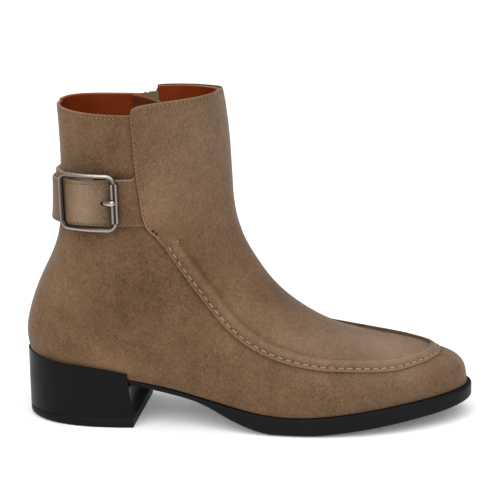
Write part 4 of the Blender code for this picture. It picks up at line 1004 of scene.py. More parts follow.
def belt_row(girth):
    """Height of the belt's middle, its width and its stand-off from the shaft."""
    middle, wide, lift = spline(BELT_TABLE[:, 0], BELT_TABLE[:, 1:], np.atleast_1d(girth)).T
    return middle, wide, np.maximum(lift, GAP)


def belt_swell(girth):
    """Bulge of the belt inside the buckle."""
    return mound(girth - BUCKLE_MIDDLE, BELT_SWELL, BELT_SWELL_LONG)


def belt_end():
    """Girth where the belt and its band end, just short of the zip."""
    return zip_girth(BELT_TABLE[-1:, 1])[0] - ZIP_WIDE / 2.0 - 2.0 * GAP


def buckle_lift(girth, thick):
    """Stand-off of the buckle's wire from the shaft: over the belt on both of its cross bars."""
    front = BUCKLE_MIDDLE - BUCKLE_WIDE / 2.0
    back = BUCKLE_MIDDLE + BUCKLE_WIDE / 2.0
    front_lift = belt_row(front)[2][0] + thick + 2.0 * GAP + ROLLER_RADIUS
    back_lift = belt_row(back)[2][0] + thick + 2.0 * GAP + WIRE_RADIUS
    return np.interp(girth, [front, back], [front_lift, back_lift])


def on_buckle(across, up, thick, extra=0.0):
    """Point of the buckle's plane, which is bent around the shaft and straight upwards."""
    girth = BUCKLE_MIDDLE + np.asarray(across, float)
    level = np.full(girth.shape, belt_row(BUCKLE_MIDDLE)[0][0] + BUCKLE_UP)
    point = LAST.on_shaft(girth, level, buckle_lift(girth, thick) + extra)
    return point + np.multiply.outer(up, UP)


def seam_frames(points, normals, pitch):
    """Places along a path at an even pitch, with the directions ahead, aside and out."""
    run = along(points)
    at = np.arange(pitch / 2.0, run[-1], pitch)
    place = resample(points, at)
    out = unit(np.column_stack([np.interp(at, run, axis) for axis in normals.T]))
    ahead = unit(resample(points, at + 0.3) - resample(points, at - 0.3))
    out = unit(out - ahead * np.sum(ahead * out, axis=1, keepdims=True))
    return place, ahead, np.cross(out, ahead), out


def joined(rows):
    """Places and directions of several seams as those of one."""
    return [np.concatenate(parts) for parts in zip(*rows)]


def beads(frames, half, slide=0.0, rows=7, columns=8):
    """One ellipsoid of half sizes (ahead, aside, out) at each place of a seam, slid along it."""
    place, ahead, aside, out = (part[:, None, None, :] for part in frames)
    bead = rounded_block((half[1], half[2], half[0]), 2.0, rows, columns)
    points = place + ahead * (bead[..., 2:] + slide) + aside * bead[..., :1] + out * bead[..., 1:2]
    return grids(points)


def add_node(tree, kind, values=None, links=None, **settings):
    """Node with its settings, its inputs' values, and links from other sockets to its inputs."""
    node = tree.nodes.new(kind)
    for name, value in settings.items():
        setattr(node, name, value)
    for key, value in (values or {}).items():
        node.inputs[key].default_value = value
    for key, socket in (links or {}).items():
        tree.links.new(socket, node.inputs[key])
    return node


def start_material(name, **values):
    """Material with its tree, its shader with constant values set, and Object coordinates."""
    material = bpy.data.materials.new(name)
    material.use_nodes = True
    tree = material.node_tree
    shader = tree.nodes["Principled BSDF"]
    for key, value in values.items():
        shader.inputs[key.replace("_", " ")].default_value = value
    return material, tree, shader, add_node(tree, "ShaderNodeTexCoord").outputs["Object"]


def per_size(size):
    """Pattern scale that gives features of a size in millimetres."""
    return 1.0 / (size * MM)


def opaque(colour):
    """Colour with full alpha."""
    return (*colour, 1.0)


MIX_A, MIX_B, MIXED = 6, 7, 2  # colour sockets of a Mix node


def noise(tree, place, size, detail, **values):
    """Noise with features of a size in millimetres."""
    inputs = {"Scale": per_size(size), "Detail": detail, **values}
    return add_node(tree, "ShaderNodeTexNoise", inputs, {"Vector": place}).outputs["Fac"]


def bands(tree, place, size, distortion, direction):
    """Soft bands a size in millimetres apart; a Wave texture has 20 / 2 pi of them in one unit."""
    inputs = {"Scale": per_size(size) * 2.0 * np.pi / 20.0, "Distortion": distortion}
    node = add_node(tree, "ShaderNodeTexWave", inputs, {"Vector": place}, bands_direction=direction)
    return node.outputs["Fac"]


def stretched(tree, place, scale):
    """Coordinates scaled on each axis."""
    return add_node(tree, "ShaderNodeMapping", {"Scale": scale}, {"Vector": place}).outputs["Vector"]


def ramp(tree, value, start, end, low=0.0, high=1.0):
    """Value carried from one range to another."""
    inputs = {"From Min": start, "From Max": end, "To Min": low, "To Max": high}
    return add_node(tree, "ShaderNodeMapRange", inputs, {"Value": value}).outputs["Result"]


def mark(tree, name):
    """Mark of the piece, kept as its point attribute."""
    return add_node(tree, "ShaderNodeAttribute", attribute_name=name).outputs["Fac"]


def add_up(tree, first, second):
    """Sum of two values."""
    return add_node(tree, "ShaderNodeMath", None, {0: first, 1: second}, operation="ADD").outputs["Value"]


def mix(tree, share, first, second):
    """Colour between two, each of them a constant or a socket."""
    values, links = {}, {0: share}
    for key, end in ((MIX_A, first), (MIX_B, second)):
        if isinstance(end, bpy.types.NodeSocket):
            links[key] = end
        else:
            values[key] = opaque(end)
    return add_node(tree, "ShaderNodeMix", values, links, data_type="RGBA").outputs[MIXED]


def dress(tree, shader, colour, height=None, strength=0.0, depth=0.0):
    """Link a colour to the shader, and a height as bump of a strength and a depth in millimetres."""
    tree.links.new(colour, shader.inputs["Base Color"])
    if height is not None:
        inputs = {"Strength": strength, "Distance": depth * MM}
        bump = add_node(tree, "ShaderNodeBump", inputs, {"Height": height})
        tree.links.new(bump.outputs["Normal"], shader.inputs["Normal"])


def suede_material(name, colours):
    """Split suede, buffed: a dull nap with no gloss of its own, cloudy where it lies differently,
    with fine lighter and darker fibres and a paler cut edge.  The fibres, about 0.1 mm, are too
    fine to show, so the nap is drawn in tufts of about 1.9 mm and strands of about 0.7 mm."""
    material, tree, shader, place = start_material(
        name, Roughness=0.95, Specular_IOR_Level=0.08, Sheen_Weight=0.3, Sheen_Roughness=0.4,
        Sheen_Tint=opaque(colours.suede_sheen))
    cloud = ramp(tree, noise(tree, place, 26.0, 3.0), 0.35, 0.65)
    base = mix(tree, cloud, colours.suede_dark, colours.suede)
    # The grey mark mixes in greyer suede, partly as painted sheen, partly as the nap's own grey
    greyed = mix(tree, mark(tree, "grey"), base, colours.suede_grey)
    tuft = noise(tree, place, 1.9, 4.0, Roughness=0.7)
    strand = noise(tree, stretched(tree, place, (1.0, 1.0, 0.5)), 0.7, 2.0)
    grain = add_up(tree, tuft, strand)
    grain_light = ramp(tree, grain, 0.65, 1.35, 0.62, 1.38)
    mottle = ramp(tree, noise(tree, place, 8.0, 3.0), 0.3, 0.7, -0.10, 0.10)
    # The light mark adds each piece's painted light and shade to the grain
    light = add_up(tree, grain_light, add_up(tree, mottle, mark(tree, "light")))
    toned = add_node(tree, "ShaderNodeVectorMath", None, {0: greyed, "Scale": light}, operation="SCALE")
    edged = mix(tree, mark(tree, "edge"), toned.outputs["Vector"], colours.cut_edge)
    dress(tree, shader, edged, grain, 0.45, 0.35)
    return material


def lining_material(name, colour, dark, cut):
    """Aniline lining leather, glazed: a soft gloss, slow changes of dye, and pores, which are about
    0.3 mm apart and drawn at 0.9 mm."""
    material, tree, shader, place = start_material(name, Roughness=0.55, Specular_IOR_Level=0.12)
    dye = ramp(tree, noise(tree, place, 14.0, 4.0), 0.32, 0.68)
    edged = mix(tree, mark(tree, "edge"), mix(tree, dye, dark, colour), cut)
    pores = add_node(tree, "ShaderNodeTexVoronoi", {"Scale": per_size(0.9)}, {"Vector": place})
    dress(tree, shader, edged, pores.outputs["Distance"], 0.25, 0.15)
    return material


def black_material(name, colour, grit, depth, roughness, coat):
    """Moulded black rubber or lacquered heel: near black, with moulding grit and a worn gloss."""
    material, tree, shader, place = start_material(
        name, Specular_IOR_Level=0.07, Coat_Weight=coat, Coat_Roughness=0.25)
    wear = noise(tree, place, 18.0, 4.0)
    gloss = ramp(tree, wear, 0.3, 0.7, roughness - 0.06, roughness + 0.06)
    tree.links.new(gloss, shader.inputs["Roughness"])
    worn = mix(tree, wear, np.multiply(colour, 0.75), np.multiply(colour, 1.3))
    dress(tree, shader, worn, noise(tree, place, grit, 2.0), 0.2, depth)
    return material


def flap_material(name, colour):
    """Split leather flap over the heel's front, dyed black: matt, with a painted reflection that makes it
    paler towards its top.
    """
    material, tree, shader, _ = start_material(name, Roughness=0.9, Specular_IOR_Level=0.01)
    dress(tree, shader, mix(tree, mark(tree, "light"), colour, np.multiply(colour, 7.0)))
    return material


def metal_material(name, colour, dark, roughness):
    """Plated casting, burnished or tumbled, with fine scratches: its rubbed mark mixes dark plating and
    bright, which on the buckle is painted highlight and shade."""
    material, tree, shader, place = start_material(name, Metallic=1.0)
    scratches = noise(tree, stretched(tree, place, (1.0, 1.0, 6.0)), 1.4, 4.0)
    gloss = ramp(tree, scratches, 0.3, 0.7, roughness * 0.85, roughness * 1.2)
    tree.links.new(gloss, shader.inputs["Roughness"])
    dress(tree, shader, mix(tree, mark(tree, "rubbed"), dark, colour), scratches, 0.03, 0.1)
    return material


def thread_material(name, colour, twist):
    """Twisted sewing thread, or the shadow in a hole: dull, lighter and darker along the twist."""
    material, tree, shader, place = start_material(name, Roughness=0.8, Specular_IOR_Level=0.2)
    turn = bands(tree, place, twist, 2.0, "X")
    dress(tree, shader, mix(tree, turn, np.multiply(colour, 0.72), np.multiply(colour, 1.15)))
    return material


def tape_material(name, colour):
    """Woven polyester zip tape: dull, with cross ribs drawn about 1.6 mm apart, which is twice as
    coarse as they are."""
    material, tree, shader, place = start_material(name, Roughness=0.85, Specular_IOR_Level=0.25)
    rib = bands(tree, place, 1.57909, 0.6, "Z")
    dress(tree, shader, mix(tree, rib, np.multiply(colour, 0.7), colour), rib, 0.5, 0.15)
    return material


def floor_material(name, colour):
    """Matt white studio sweep with a little light of its own."""
    return start_material(
        name, Roughness=0.9, Specular_IOR_Level=0.1, Base_Color=opaque(colour),
        Emission_Color=opaque(colour), Emission_Strength=FLOOR_GLOW)[0]


def finish(name):
    """The material of one finish, made when it is first asked for."""
    colours = bpy.context.scene.boot_colours
    makers = {
        "buffed_suede": (suede_material, colours),
        "rust_lining": (lining_material, colours.lining, colours.lining_dark, colours.lining_edge),
        "brown_guard": (lining_material, colours.guard, np.multiply(colours.guard, 0.7), colours.lining_edge),
        "black_rubber": (black_material, colours.rubber, 0.8, 0.08, 0.46, 0.0),
        "black_heel": (black_material, colours.heel, 1.6, 0.04, 0.34, 0.03),
        "black_flap": (flap_material, colours.flap),
        "burnished_gunmetal": (metal_material, colours.metal, colours.metal_dark, 0.29),
        "tumbled_nickel": (metal_material, colours.zip_metal, colours.zip_metal, 0.3),
        "seam_thread": (thread_material, colours.thread, 0.376991),
        "edge_thread": (thread_material, colours.edge_thread, 0.314159),
        "needle_hole": (thread_material, colours.needle_hole, 0.314159),
        "punched_hole": (thread_material, colours.punched_hole, 0.314159),
        "woven_tape": (tape_material, colours.tape),
        "studio_floor": (floor_material, colours.floor),
    }
    maker, *looks = makers[name]
    return bpy.data.materials.get(name) or maker(name, *looks)


def boot_sizes():
    """The scene's sizes in millimetres."""
    sizes = bpy.context.scene.boot_sizes
    return SimpleNamespace(**{name: getattr(sizes, name) / MM for name in BootSizes.__annotations__})


def length(name, description, default):
    """Size property whose default is given in millimetres."""
    return FloatProperty(name=name, description=description, default=default * MM, unit="LENGTH", precision=5)


def colour(name, description, code):
    """Colour property whose default is an sRGB hex code."""
    return FloatVectorProperty(
        name=name, description=description, default=linear(code), subtype="COLOR", min=0.0, max=1.0)


class BootSizes(bpy.types.PropertyGroup):
    """Sizes of the sewn and cut details."""

    panel_thick: length("Panel thickness", "Thickness of the front panel's suede", 1.3)
    ridge_high: length("Ridge height", "Raised seam above the panel", 1.8)
    ridge_in: length("Ridge inset", "From the panel's edge to the crest of the raised seam", 6.8)
    ridge_half: length("Ridge half width", "Half the raised seam's width", 2.6)
    seam_in: length("Seam inset", "From the panel's edge to the stitches beside the raised seam", 2.2)
    seam_pitch: length("Seam pitch", "Distance between the stitches beside the raised seam", 5.1)
    edge_in: length("Edge row inset", "From a cut edge to its row of small stitches", 1.4)
    edge_pitch: length("Edge row pitch", "Distance between the small stitches", 2.5)
    belt_thick: length("Belt thickness", "Thickness of the belt", 1.9)
    tooth_pitch: length("Tooth pitch", "Distance between the zip's teeth on one side", 2.6)


class BootColours(bpy.types.PropertyGroup):
    """Colours of the finishes."""

    suede: colour("Suede", "Suede where the nap catches light", "#68503B")
    suede_dark: colour("Dark suede", "Suede where the nap lies away", "#604934")
    # Greyer suede, mixed in partly as painted sheen, partly as the nap's own grey
    suede_grey: colour("Grey suede", "Suede where the nap is rubbed grey", "#625344")
    suede_sheen: colour("Suede sheen", "Sheen of the nap", "#E8E0D8")
    cut_edge: colour("Cut edge", "Raw edge of the suede", "#937C66")
    lining: colour("Lining", "Rust lining leather", "#7A2E08")
    lining_dark: colour("Dark lining", "Rust lining where the dye is deep", "#662405")
    lining_edge: colour("Lining edge", "Raw edge of the lining", "#976548")
    guard: colour("Zip guard", "Leather guard behind the zip", "#55240F")
    thread: colour("Seam thread", "Thread of the raised seam", "#9B8871")
    edge_thread: colour("Edge thread", "Thread of the small edge stitches", "#806850")
    needle_hole: colour("Needle hole", "Shadow in the needle holes", "#463424")
    punched_hole: colour("Punched hole", "Shadow in the larger holes", "#241A12")
    rubber: colour("Sole", "Rubber of the sole", "#151516")
    heel: colour("Heel", "Lacquer of the heel", "#0E0E0F")
    flap: colour("Heel flap", "Leather over the front of the heel", "#212122")
    # The buckle's plating, mixed by its rubbed mark into painted highlight and shade
    metal: colour("Buckle", "Plating of the buckle where it is rubbed", "#B9ACA4")
    metal_dark: colour("Dark buckle", "Plating of the buckle in its hollows", "#3A322F")
    zip_metal: colour("Zip", "Metal of the zip", "#645A54")
    tape: colour("Zip tape", "Woven tape of the zip", "#75654F")
    floor: colour("Floor", "Studio floor", "#F2F2F2")


class BootOperator(bpy.types.Operator):
    """Shared settings of the boot's operators."""

    bl_options = {"REGISTER", "UNDO"}


class BOOT_OT_upper(BootOperator):
    """Make the suede quarters and vamp with their rust lining"""

    bl_idname = "boot.upper"
    bl_label = "Upper and lining"

    def execute(self, context):
        section, across = upper_chart(*UPPER_GRID, 0.0)
        rim = rim_distance(LAST.at(section, across))
        outside = LAST.at(section, across, -edge_drop(rim, RIM_ROUND))
        inside = LAST.at(section, across, -SUEDE_THICK)
        # Painted light, shade and sheen on the nap, with painted shadow beside the panel's edge and the belt
        light, grey = nap_at(outside)
        edge = RIM_SHOWN * smooth_step(1.0 - rim / RIM_WIDE)
        edge, light, grey = twice(edge, light + nap_beside(outside), grey)
        new_piece("upper_suede", sheet(outside, inside), "buffed_suede", "suede", ("upper",),
                  edge=edge, light=light, grey=grey)
        section, across = upper_chart(*LINING_GRID, LINING_DROP)
        rim = rim_distance(LAST.at(section, across))
        outside = LAST.at(section, across, -SUEDE_THICK - LINING_CLEAR)
        inside = LAST.at(section, across, edge_drop(rim, LINING_ROUND) - WALL)
        edge, = twice(smooth_step(1.0 - rim / RIM_WIDE))
        new_piece("upper_lining", sheet(outside, inside), "rust_lining", "lining_leather", edge=edge)
        return {"FINISHED"}


class BOOT_OT_front_panel(BootOperator):
    """Make the front panel with its flange, stitched groove and raised seam"""

    bl_idname = "boot.front_panel"
    bl_label = "Front panel"

    def execute(self, context):
        sizes = boot_sizes()
        section, across, depth, rim = panel_chart(PANEL_DEPTHS)
        run = along(LAST.at(section[:, PUCKER_COLUMN], across[:, PUCKER_COLUMN]))[:, None]
        outside = LAST.at(section, across, panel_lift(section, depth, rim, run, sizes))
        inside = LAST.at(section, across, GAP)
        shown = CUT_SHOWN + (1.0 - CUT_SHOWN) * smooth_step((section - RIDGE_START + 1.0) / 2.0)
        rim_edge = RIM_SHOWN * smooth_step(1.0 - rim / RIM_WIDE)
        edge = np.maximum(shown * smooth_step(1.0 - depth / CUT_WIDE), rim_edge)
        # Painted light, shade and sheen on the panel's nap, and painted highlights and shade on its raised
        # seam
        light, grey = nap_at(outside)
        edge, light, grey = cut_marks(edge, light + panel_nap(section, across, depth, sizes), grey)
        new_piece("front_panel_suede", sheet(outside, inside, ("start", "end", "low")), "buffed_suede",
                  "suede", ("front_panel",), edge=edge, light=light, grey=grey)
        return {"FINISHED"}


class BOOT_OT_stitches(BootOperator):
    """Make the stitches and needle holes of the upper and the front panel"""

    bl_idname = "boot.stitches"
    bl_label = "Stitches"

    def execute(self, context):
        sizes = boot_sizes()
        depths = np.array([0.0, sizes.edge_in, sizes.seam_in, PANEL_DEPTHS[-1]])
        section, across, depth, rim = panel_chart(depths)
        run = along(LAST.at(section[:, 2], across[:, 2]))[:, None]
        grid = LAST.at(section, across, panel_lift(section, depth, rim, run, sizes))
        normals = LAST.normal(section, across)
        seam = section[:, 2] < SEAM_TOP
        seam_row = seam_frames(grid[seam, 2], normals[seam, 2], sizes.seam_pitch)
        pitch = sizes.edge_pitch
        rows = []
        for shaft in np.split(np.arange(len(section)), [len(section) // 2]):
            high = shaft[(section[shaft, 1] > RIDGE_START + 0.4) & (rim[shaft, 1] > 2.0)]
            rows.append(seam_frames(grid[high, 1], normals[high, 1], pitch))
        for row in (2, -3):
            top = depth[row] > 3.0
            rows.append(seam_frames(grid[row, top], normals[row, top], pitch))
        rows += [self.collar_row(side, pitch) for side in (-1.0, 1.0)]
        edge_row = joined(rows)
        start_row = self.start_row(sizes)
        threads = join(beads(seam_row, SEAM_STITCH), beads(start_row, START_STITCH))
        new_piece("seam_stitches", threads, "seam_thread", "suede")
        # Dark beads put in the seam's holes as their painted shade
        holes = join(
            beads(seam_row, SEAM_HOLE, sizes.seam_pitch / 2.0, 5, 8),
            beads(start_row, SEAM_HOLE, START_PITCH / 2.0, 5, 8),
            beads(self.corner_holes(sizes), CORNER_HOLE, 0.0, 5, 10),
        )
        new_piece("seam_holes", holes, "punched_hole", "suede")
        # Dark beads as the painted shade in the small needle holes
        new_piece("edge_holes", beads(edge_row, EDGE_HOLE, pitch / 2.0, *SMALL_BEAD), "needle_hole", "suede")
        new_piece("edge_stitches", beads(edge_row, EDGE_STITCH, 0.0, *SMALL_BEAD), "edge_thread", "suede")
        return {"FINISHED"}

    def collar_row(self, side, pitch):
        """Small stitches under the quarters' collar edge on one side, from the back seam forward."""
        girth = side * np.linspace(COLLAR_START, COLLAR_ENDS[0 if side < 0.0 else 1], 80)
        rim = quarter_rim(LAST.on_shaft(girth, QUARTER_LOW[1])[:, 0]) - COLLAR_ROW
        return seam_frames(LAST.on_shaft(girth, rim), LAST.shaft_normal(girth, rim), pitch)

    def start_row(self, sizes):
        """The few stitches across the start of the raised seam, on both sides of the boot."""
        rows = []
        for side in (-1.0, 1.0):
            inward = START_IN + np.linspace(0.0, START_LONG, 20)
            section = START_SECTION - START_LEAN * (inward - START_IN)
            depth = sizes.seam_in + inward
            across = LAST.across(section, side * (panel_reach(section, side) - depth))
            lift = panel_lift(section, depth, np.inf, 0.0, sizes)
            points = LAST.at(section, across, lift)
            rows.append(seam_frames(points, LAST.normal(section, across), START_PITCH))
        return joined(rows)

    def corner_holes(self, sizes):
        """Two larger needle holes at the corner where the belt meets the panel, on both sides."""
        rows = []
        for side in (-1.0, 1.0):
            reach = panel_reach(CORNER_SECTIONS, side) - sizes.edge_in - CORNER_IN
            across = LAST.across(CORNER_SECTIONS, side * reach)
            out = LAST.normal(CORNER_SECTIONS, across)
            ahead = unit(np.cross(UP, out))
            place = LAST.at(CORNER_SECTIONS, across, GAP + sizes.panel_thick)
            rows.append((place, ahead, np.cross(out, ahead), out))
        return joined(rows)


class BOOT_OT_belt(BootOperator):
    """Make the ankle belt, the band under it and their stitched edges"""

    bl_idname = "boot.belt"
    bl_label = "Belt"

    def strap(self, girth, low, high, lift, thick, crown):
        """Rounded strap between two edge heights: its outside falls in a quarter circle at both edges."""
        share = STRAP_SHARES[:, None]
        height = low + share * (high - low)
        side = np.minimum(share, 1.0 - share) * (high - low)
        swell = crown * np.sin(np.pi * share)
        outside = LAST.on_shaft(girth, height, lift + thick + swell - edge_drop(side, CUT_ROUND))
        inside = LAST.on_shaft(girth, height, lift)
        return outside, inside, smooth_step(1.0 - side / BELT_EDGE)

    def execute(self, context):
        sizes = boot_sizes()
        start = panel_girth(BELT_TABLE[:1, 1])[0] + BELT_JOINT
        line = np.concatenate([
            np.linspace(start, start + BELT_DENSE, 30)[:-1],
            np.linspace(start + BELT_DENSE, belt_end(), 200),
        ])
        middle, wide, lift = belt_row(line)
        from_panel, from_buckle = line - start, line - BUCKLE_MIDDLE
        low, high = middle - wide / 2.0, middle + wide / 2.0 + edge_drop(from_panel, BELT_FILLET)
        thick = sizes.belt_thick - BELT_THINNED * smooth_step(1.0 - from_panel / BELT_THIN_LONG)
        row_starts = panel_girth(low[0] + STRAP_SHARES * (high[0] - low[0])) + BELT_JOINT
        fade = np.clip(1.0 - from_panel / BELT_BLEND, 0.0, 1.0)
        girth = line + (row_starts - start)[:, None] * fade
        outside, inside, edge = self.strap(girth, low, high, lift, thick, belt_swell(line))
        # Painted light and shade on the belt's nap, darker at its joint with the panel
        nap = sum(mound(from_buckle - place, light, reach) for place, reach, light in BELT_NAP)
        nap = nap - mound(from_panel, *BELT_END_SHADE)
        grey = mound(from_buckle, *BELT_GREY)
        light, grey = (np.repeat(row[None, :], len(outside), axis=0) for row in (nap, grey))
        edge, light, grey = cut_marks(edge, light, grey)
        new_piece("belt_suede", sheet(outside, inside), "buffed_suede", "suede", ("belt_strap",),
                  edge=edge, light=light, grey=grey)

        band = np.linspace(CHAPE_START, belt_end(), 140)
        band_middle, band_wide, band_lift = belt_row(band)
        taper = smooth_step((band - CHAPE_START) / CHAPE_TAPER)
        band_wide = band_wide + (CHAPE_WIDE - band_wide) * taper
        band_middle = band_middle + CHAPE_RISE * taper
        band_thick = np.minimum(band_lift - BAND_CLEAR, BAND_THICK)
        outside, inside, edge = self.strap(
            band, band_middle - band_wide / 2.0, band_middle + band_wide / 2.0, GAP, band_thick, 0.0)
        edge, = twice(edge)
        new_piece("band_suede", sheet(outside, inside), "buffed_suede", "suede", ("chape_band",), edge=edge)

        rows = []
        shown = from_panel > BELT_FILLET
        for level, row in zip((low + BELT_ROWS[0], high - BELT_ROWS[1]), BELT_ROWS):
            top = lift + thick + belt_swell(line) * np.sin(np.pi * row / (high - low))
            points = LAST.on_shaft(line, level, top)[shown]
            rows.append(seam_frames(points, LAST.shaft_normal(line, level)[shown], sizes.edge_pitch))
        frames = joined(rows)
        new_piece("belt_stitches", beads(frames, EDGE_STITCH, 0.0, *SMALL_BEAD), "edge_thread", "suede")
        # Dark beads as the painted shade in the belt's needle holes
        holes = beads(frames, EDGE_HOLE, sizes.edge_pitch / 2.0, *SMALL_BEAD)
        new_piece("belt_needle_holes", holes, "needle_hole", "suede")
        return {"FINISHED"}


class BOOT_OT_buckle(BootOperator):
    """Make the buckle's frame, its roller and its prong"""

    bl_idname = "boot.buckle"
    bl_label = "Buckle"

    RUB_FRONT, RUB_OUTSIDE = 0.45, 0.85  # painted highlight where the wire faces off the shaft, and outwards
    RUB_UPRIGHT, RUB_LEVEL = 0.55, 0.35  # share of that painted highlight on the upright bars, and what a level bar adds
    RUB_ROLLER = 0.55  # painted reflection on the roller, in stripes beside its seam
    STRIPE, STRIPE_WIDE = 0.82 * np.pi, 0.45  # angle of the painted reflection's stripes from the roller's back, and their width
    PRONG_WAY = (0.3, -1.0, 0.2)  # direction that the prong's flat side faces

    def execute(self, context):
        thick = boot_sizes().belt_thick
        angle = np.linspace(0.0, 2.0 * np.pi, 241)
        corner = np.array([np.cos(angle), np.sin(angle)])
        reach = np.array([BUCKLE_WIDE, BUCKLE_HIGH])[:, None] / 2.0 - BUCKLE_CORNER
        outline = np.sign(np.round(corner, 9)) * reach + BUCKLE_CORNER * corner
        places = even_points(outline.T, 320)
        path = on_buckle(*places.T, thick)
        middle = path.mean(axis=0)
        ahead = unit(np.roll(path[:-1], -1, axis=0) - np.roll(path[:-1], 1, axis=0))
        ahead = np.concatenate([ahead, ahead[:1]])
        first = unit(np.cross(ahead, path - middle))
        second = np.cross(ahead, first)
        turn = np.linspace(0.0, 2.0 * np.pi, 25)[None, :, None]
        way = np.cos(turn) * first[:, None] + np.sin(turn) * second[:, None]
        rings = path[:, None] + WIRE_RADIUS * way
        outward = np.sum(way * unit(path - middle)[:, None], axis=-1)
        facing = np.sum(way * LAST.shaft_normal(BUCKLE_MIDDLE, belt_row(BUCKLE_MIDDLE)[0]), axis=-1)
        level = 1.0 - np.abs(ahead[:, 2:])
        # Painted highlight where the wire faces off the shaft and outwards, less on the upright bars, and
        # painted shade under the roller
        covered = (places[:, :1] < 0.5 - BUCKLE_WIDE / 2.0) & (np.abs(places[:, 1:]) < ROLLER_LONG / 2.0)
        rubbed = smooth_step(self.RUB_FRONT * facing + self.RUB_OUTSIDE * outward)
        rubbed = rubbed * (self.RUB_UPRIGHT + self.RUB_LEVEL * level) * ~covered
        new_piece("buckle_wire", grids(rings), "burnished_gunmetal", "gunmetal", ("buckle_frame",),
                  rubbed=rubbed)

        bar = -BUCKLE_WIDE / 2.0
        ends = on_buckle([bar, bar], [-ROLLER_LONG / 2.0, ROLLER_LONG / 2.0], thick)
        ahead = unit(ends[1] - ends[0])
        out = unit(np.cross((1.0, 0.0, 0.0), ahead))
        aside = np.cross(ahead, out)
        angle = np.linspace(ROLLER_SLIT, 2.0 * np.pi - ROLLER_SLIT, 60)
        turned = angle + ROLLER_TURN
        ring = np.cos(turned)[:, None] * out + np.sin(turned)[:, None] * aside
        bore = WIRE_RADIUS + GAP
        profile = np.array([
            # along the bar, radius
            [0.0, bore],
            [0.0, ROLLER_RADIUS - ROLLER_EDGE],
            [ROLLER_EDGE, ROLLER_RADIUS],
            [ROLLER_LONG / 2.0, ROLLER_RADIUS],
            [ROLLER_LONG - ROLLER_EDGE, ROLLER_RADIUS],
            [ROLLER_LONG, ROLLER_RADIUS - ROLLER_EDGE],
            [ROLLER_LONG, bore],
        ])
        outside = ends[0] + profile[:, :1, None] * ahead + profile[:, 1:, None] * ring[None]
        inner = np.where(profile[:, 1:] > bore, bore, profile[:, 1:])
        inside = ends[0] + profile[:, :1, None] * ahead + inner[:, :, None] * ring[None]
        # Stripes of painted reflection beside the roller's seam; its inside is left dark
        from_stripe = np.abs(np.abs(angle - np.pi) - self.STRIPE)
        stripe = self.RUB_ROLLER * smooth_step(1.3 - from_stripe / self.STRIPE_WIDE)
        rubbed = np.repeat(stripe[None, :], len(profile), axis=0)
        new_piece("buckle_tube", sheet(outside, inside), "burnished_gunmetal", "gunmetal",
                  ("buckle_roller",), rubbed=np.concatenate([rubbed, 0.0 * rubbed]))

        hole = bar + PRONG_LONG - PRONG_RADIUS
        girth = BUCKLE_MIDDLE + hole
        rest = ROLLER_RADIUS + GAP + PRONG_RADIUS
        belt_top = belt_row(girth)[2][0] + thick + belt_swell(girth)
        above_belt = belt_top + GAP + PRONG_RADIUS - buckle_lift(girth, thick)
        share = np.linspace(0.0, 1.0, 40)
        extra = above_belt + (rest - above_belt) * smooth_step(share * 1.25)
        reach = hole + (bar - PRONG_PAST - hole) * share
        path = on_buckle(reach, PRONG_UP + PRONG_RISE * share, thick, extra)
        ends_round = np.sqrt(1.0 - np.clip(np.abs(2.0 * share - 1.0) * 1.12 - 0.12, 0.0, 1.0) ** 6)
        rings = tube(path, PRONG_RADIUS * np.maximum(ends_round, 0.001), 20, self.PRONG_WAY, 4.0)
        new_piece("buckle_pin", grids(rings), "burnished_gunmetal", "gunmetal", ("buckle_prong",),
                  rubbed=np.ones(rings.shape[:2]))
        around = girth + HOLE_PAST + np.linspace(-2.0, 2.0, 9)
        middle, _, lift = belt_row(around)
        line = LAST.on_shaft(around, middle + PRONG_UP, lift + thick + belt_swell(around))
        frames = seam_frames(line, LAST.shaft_normal(around, middle), along(line)[-1])
        # Dark bead as the painted shade in the prong's hole
        hole = beads(frames, BELT_HOLE, 0.0, 7, 24)
        new_piece("belt_hole", hole, "punched_hole", "suede")
        return {"FINISHED"}


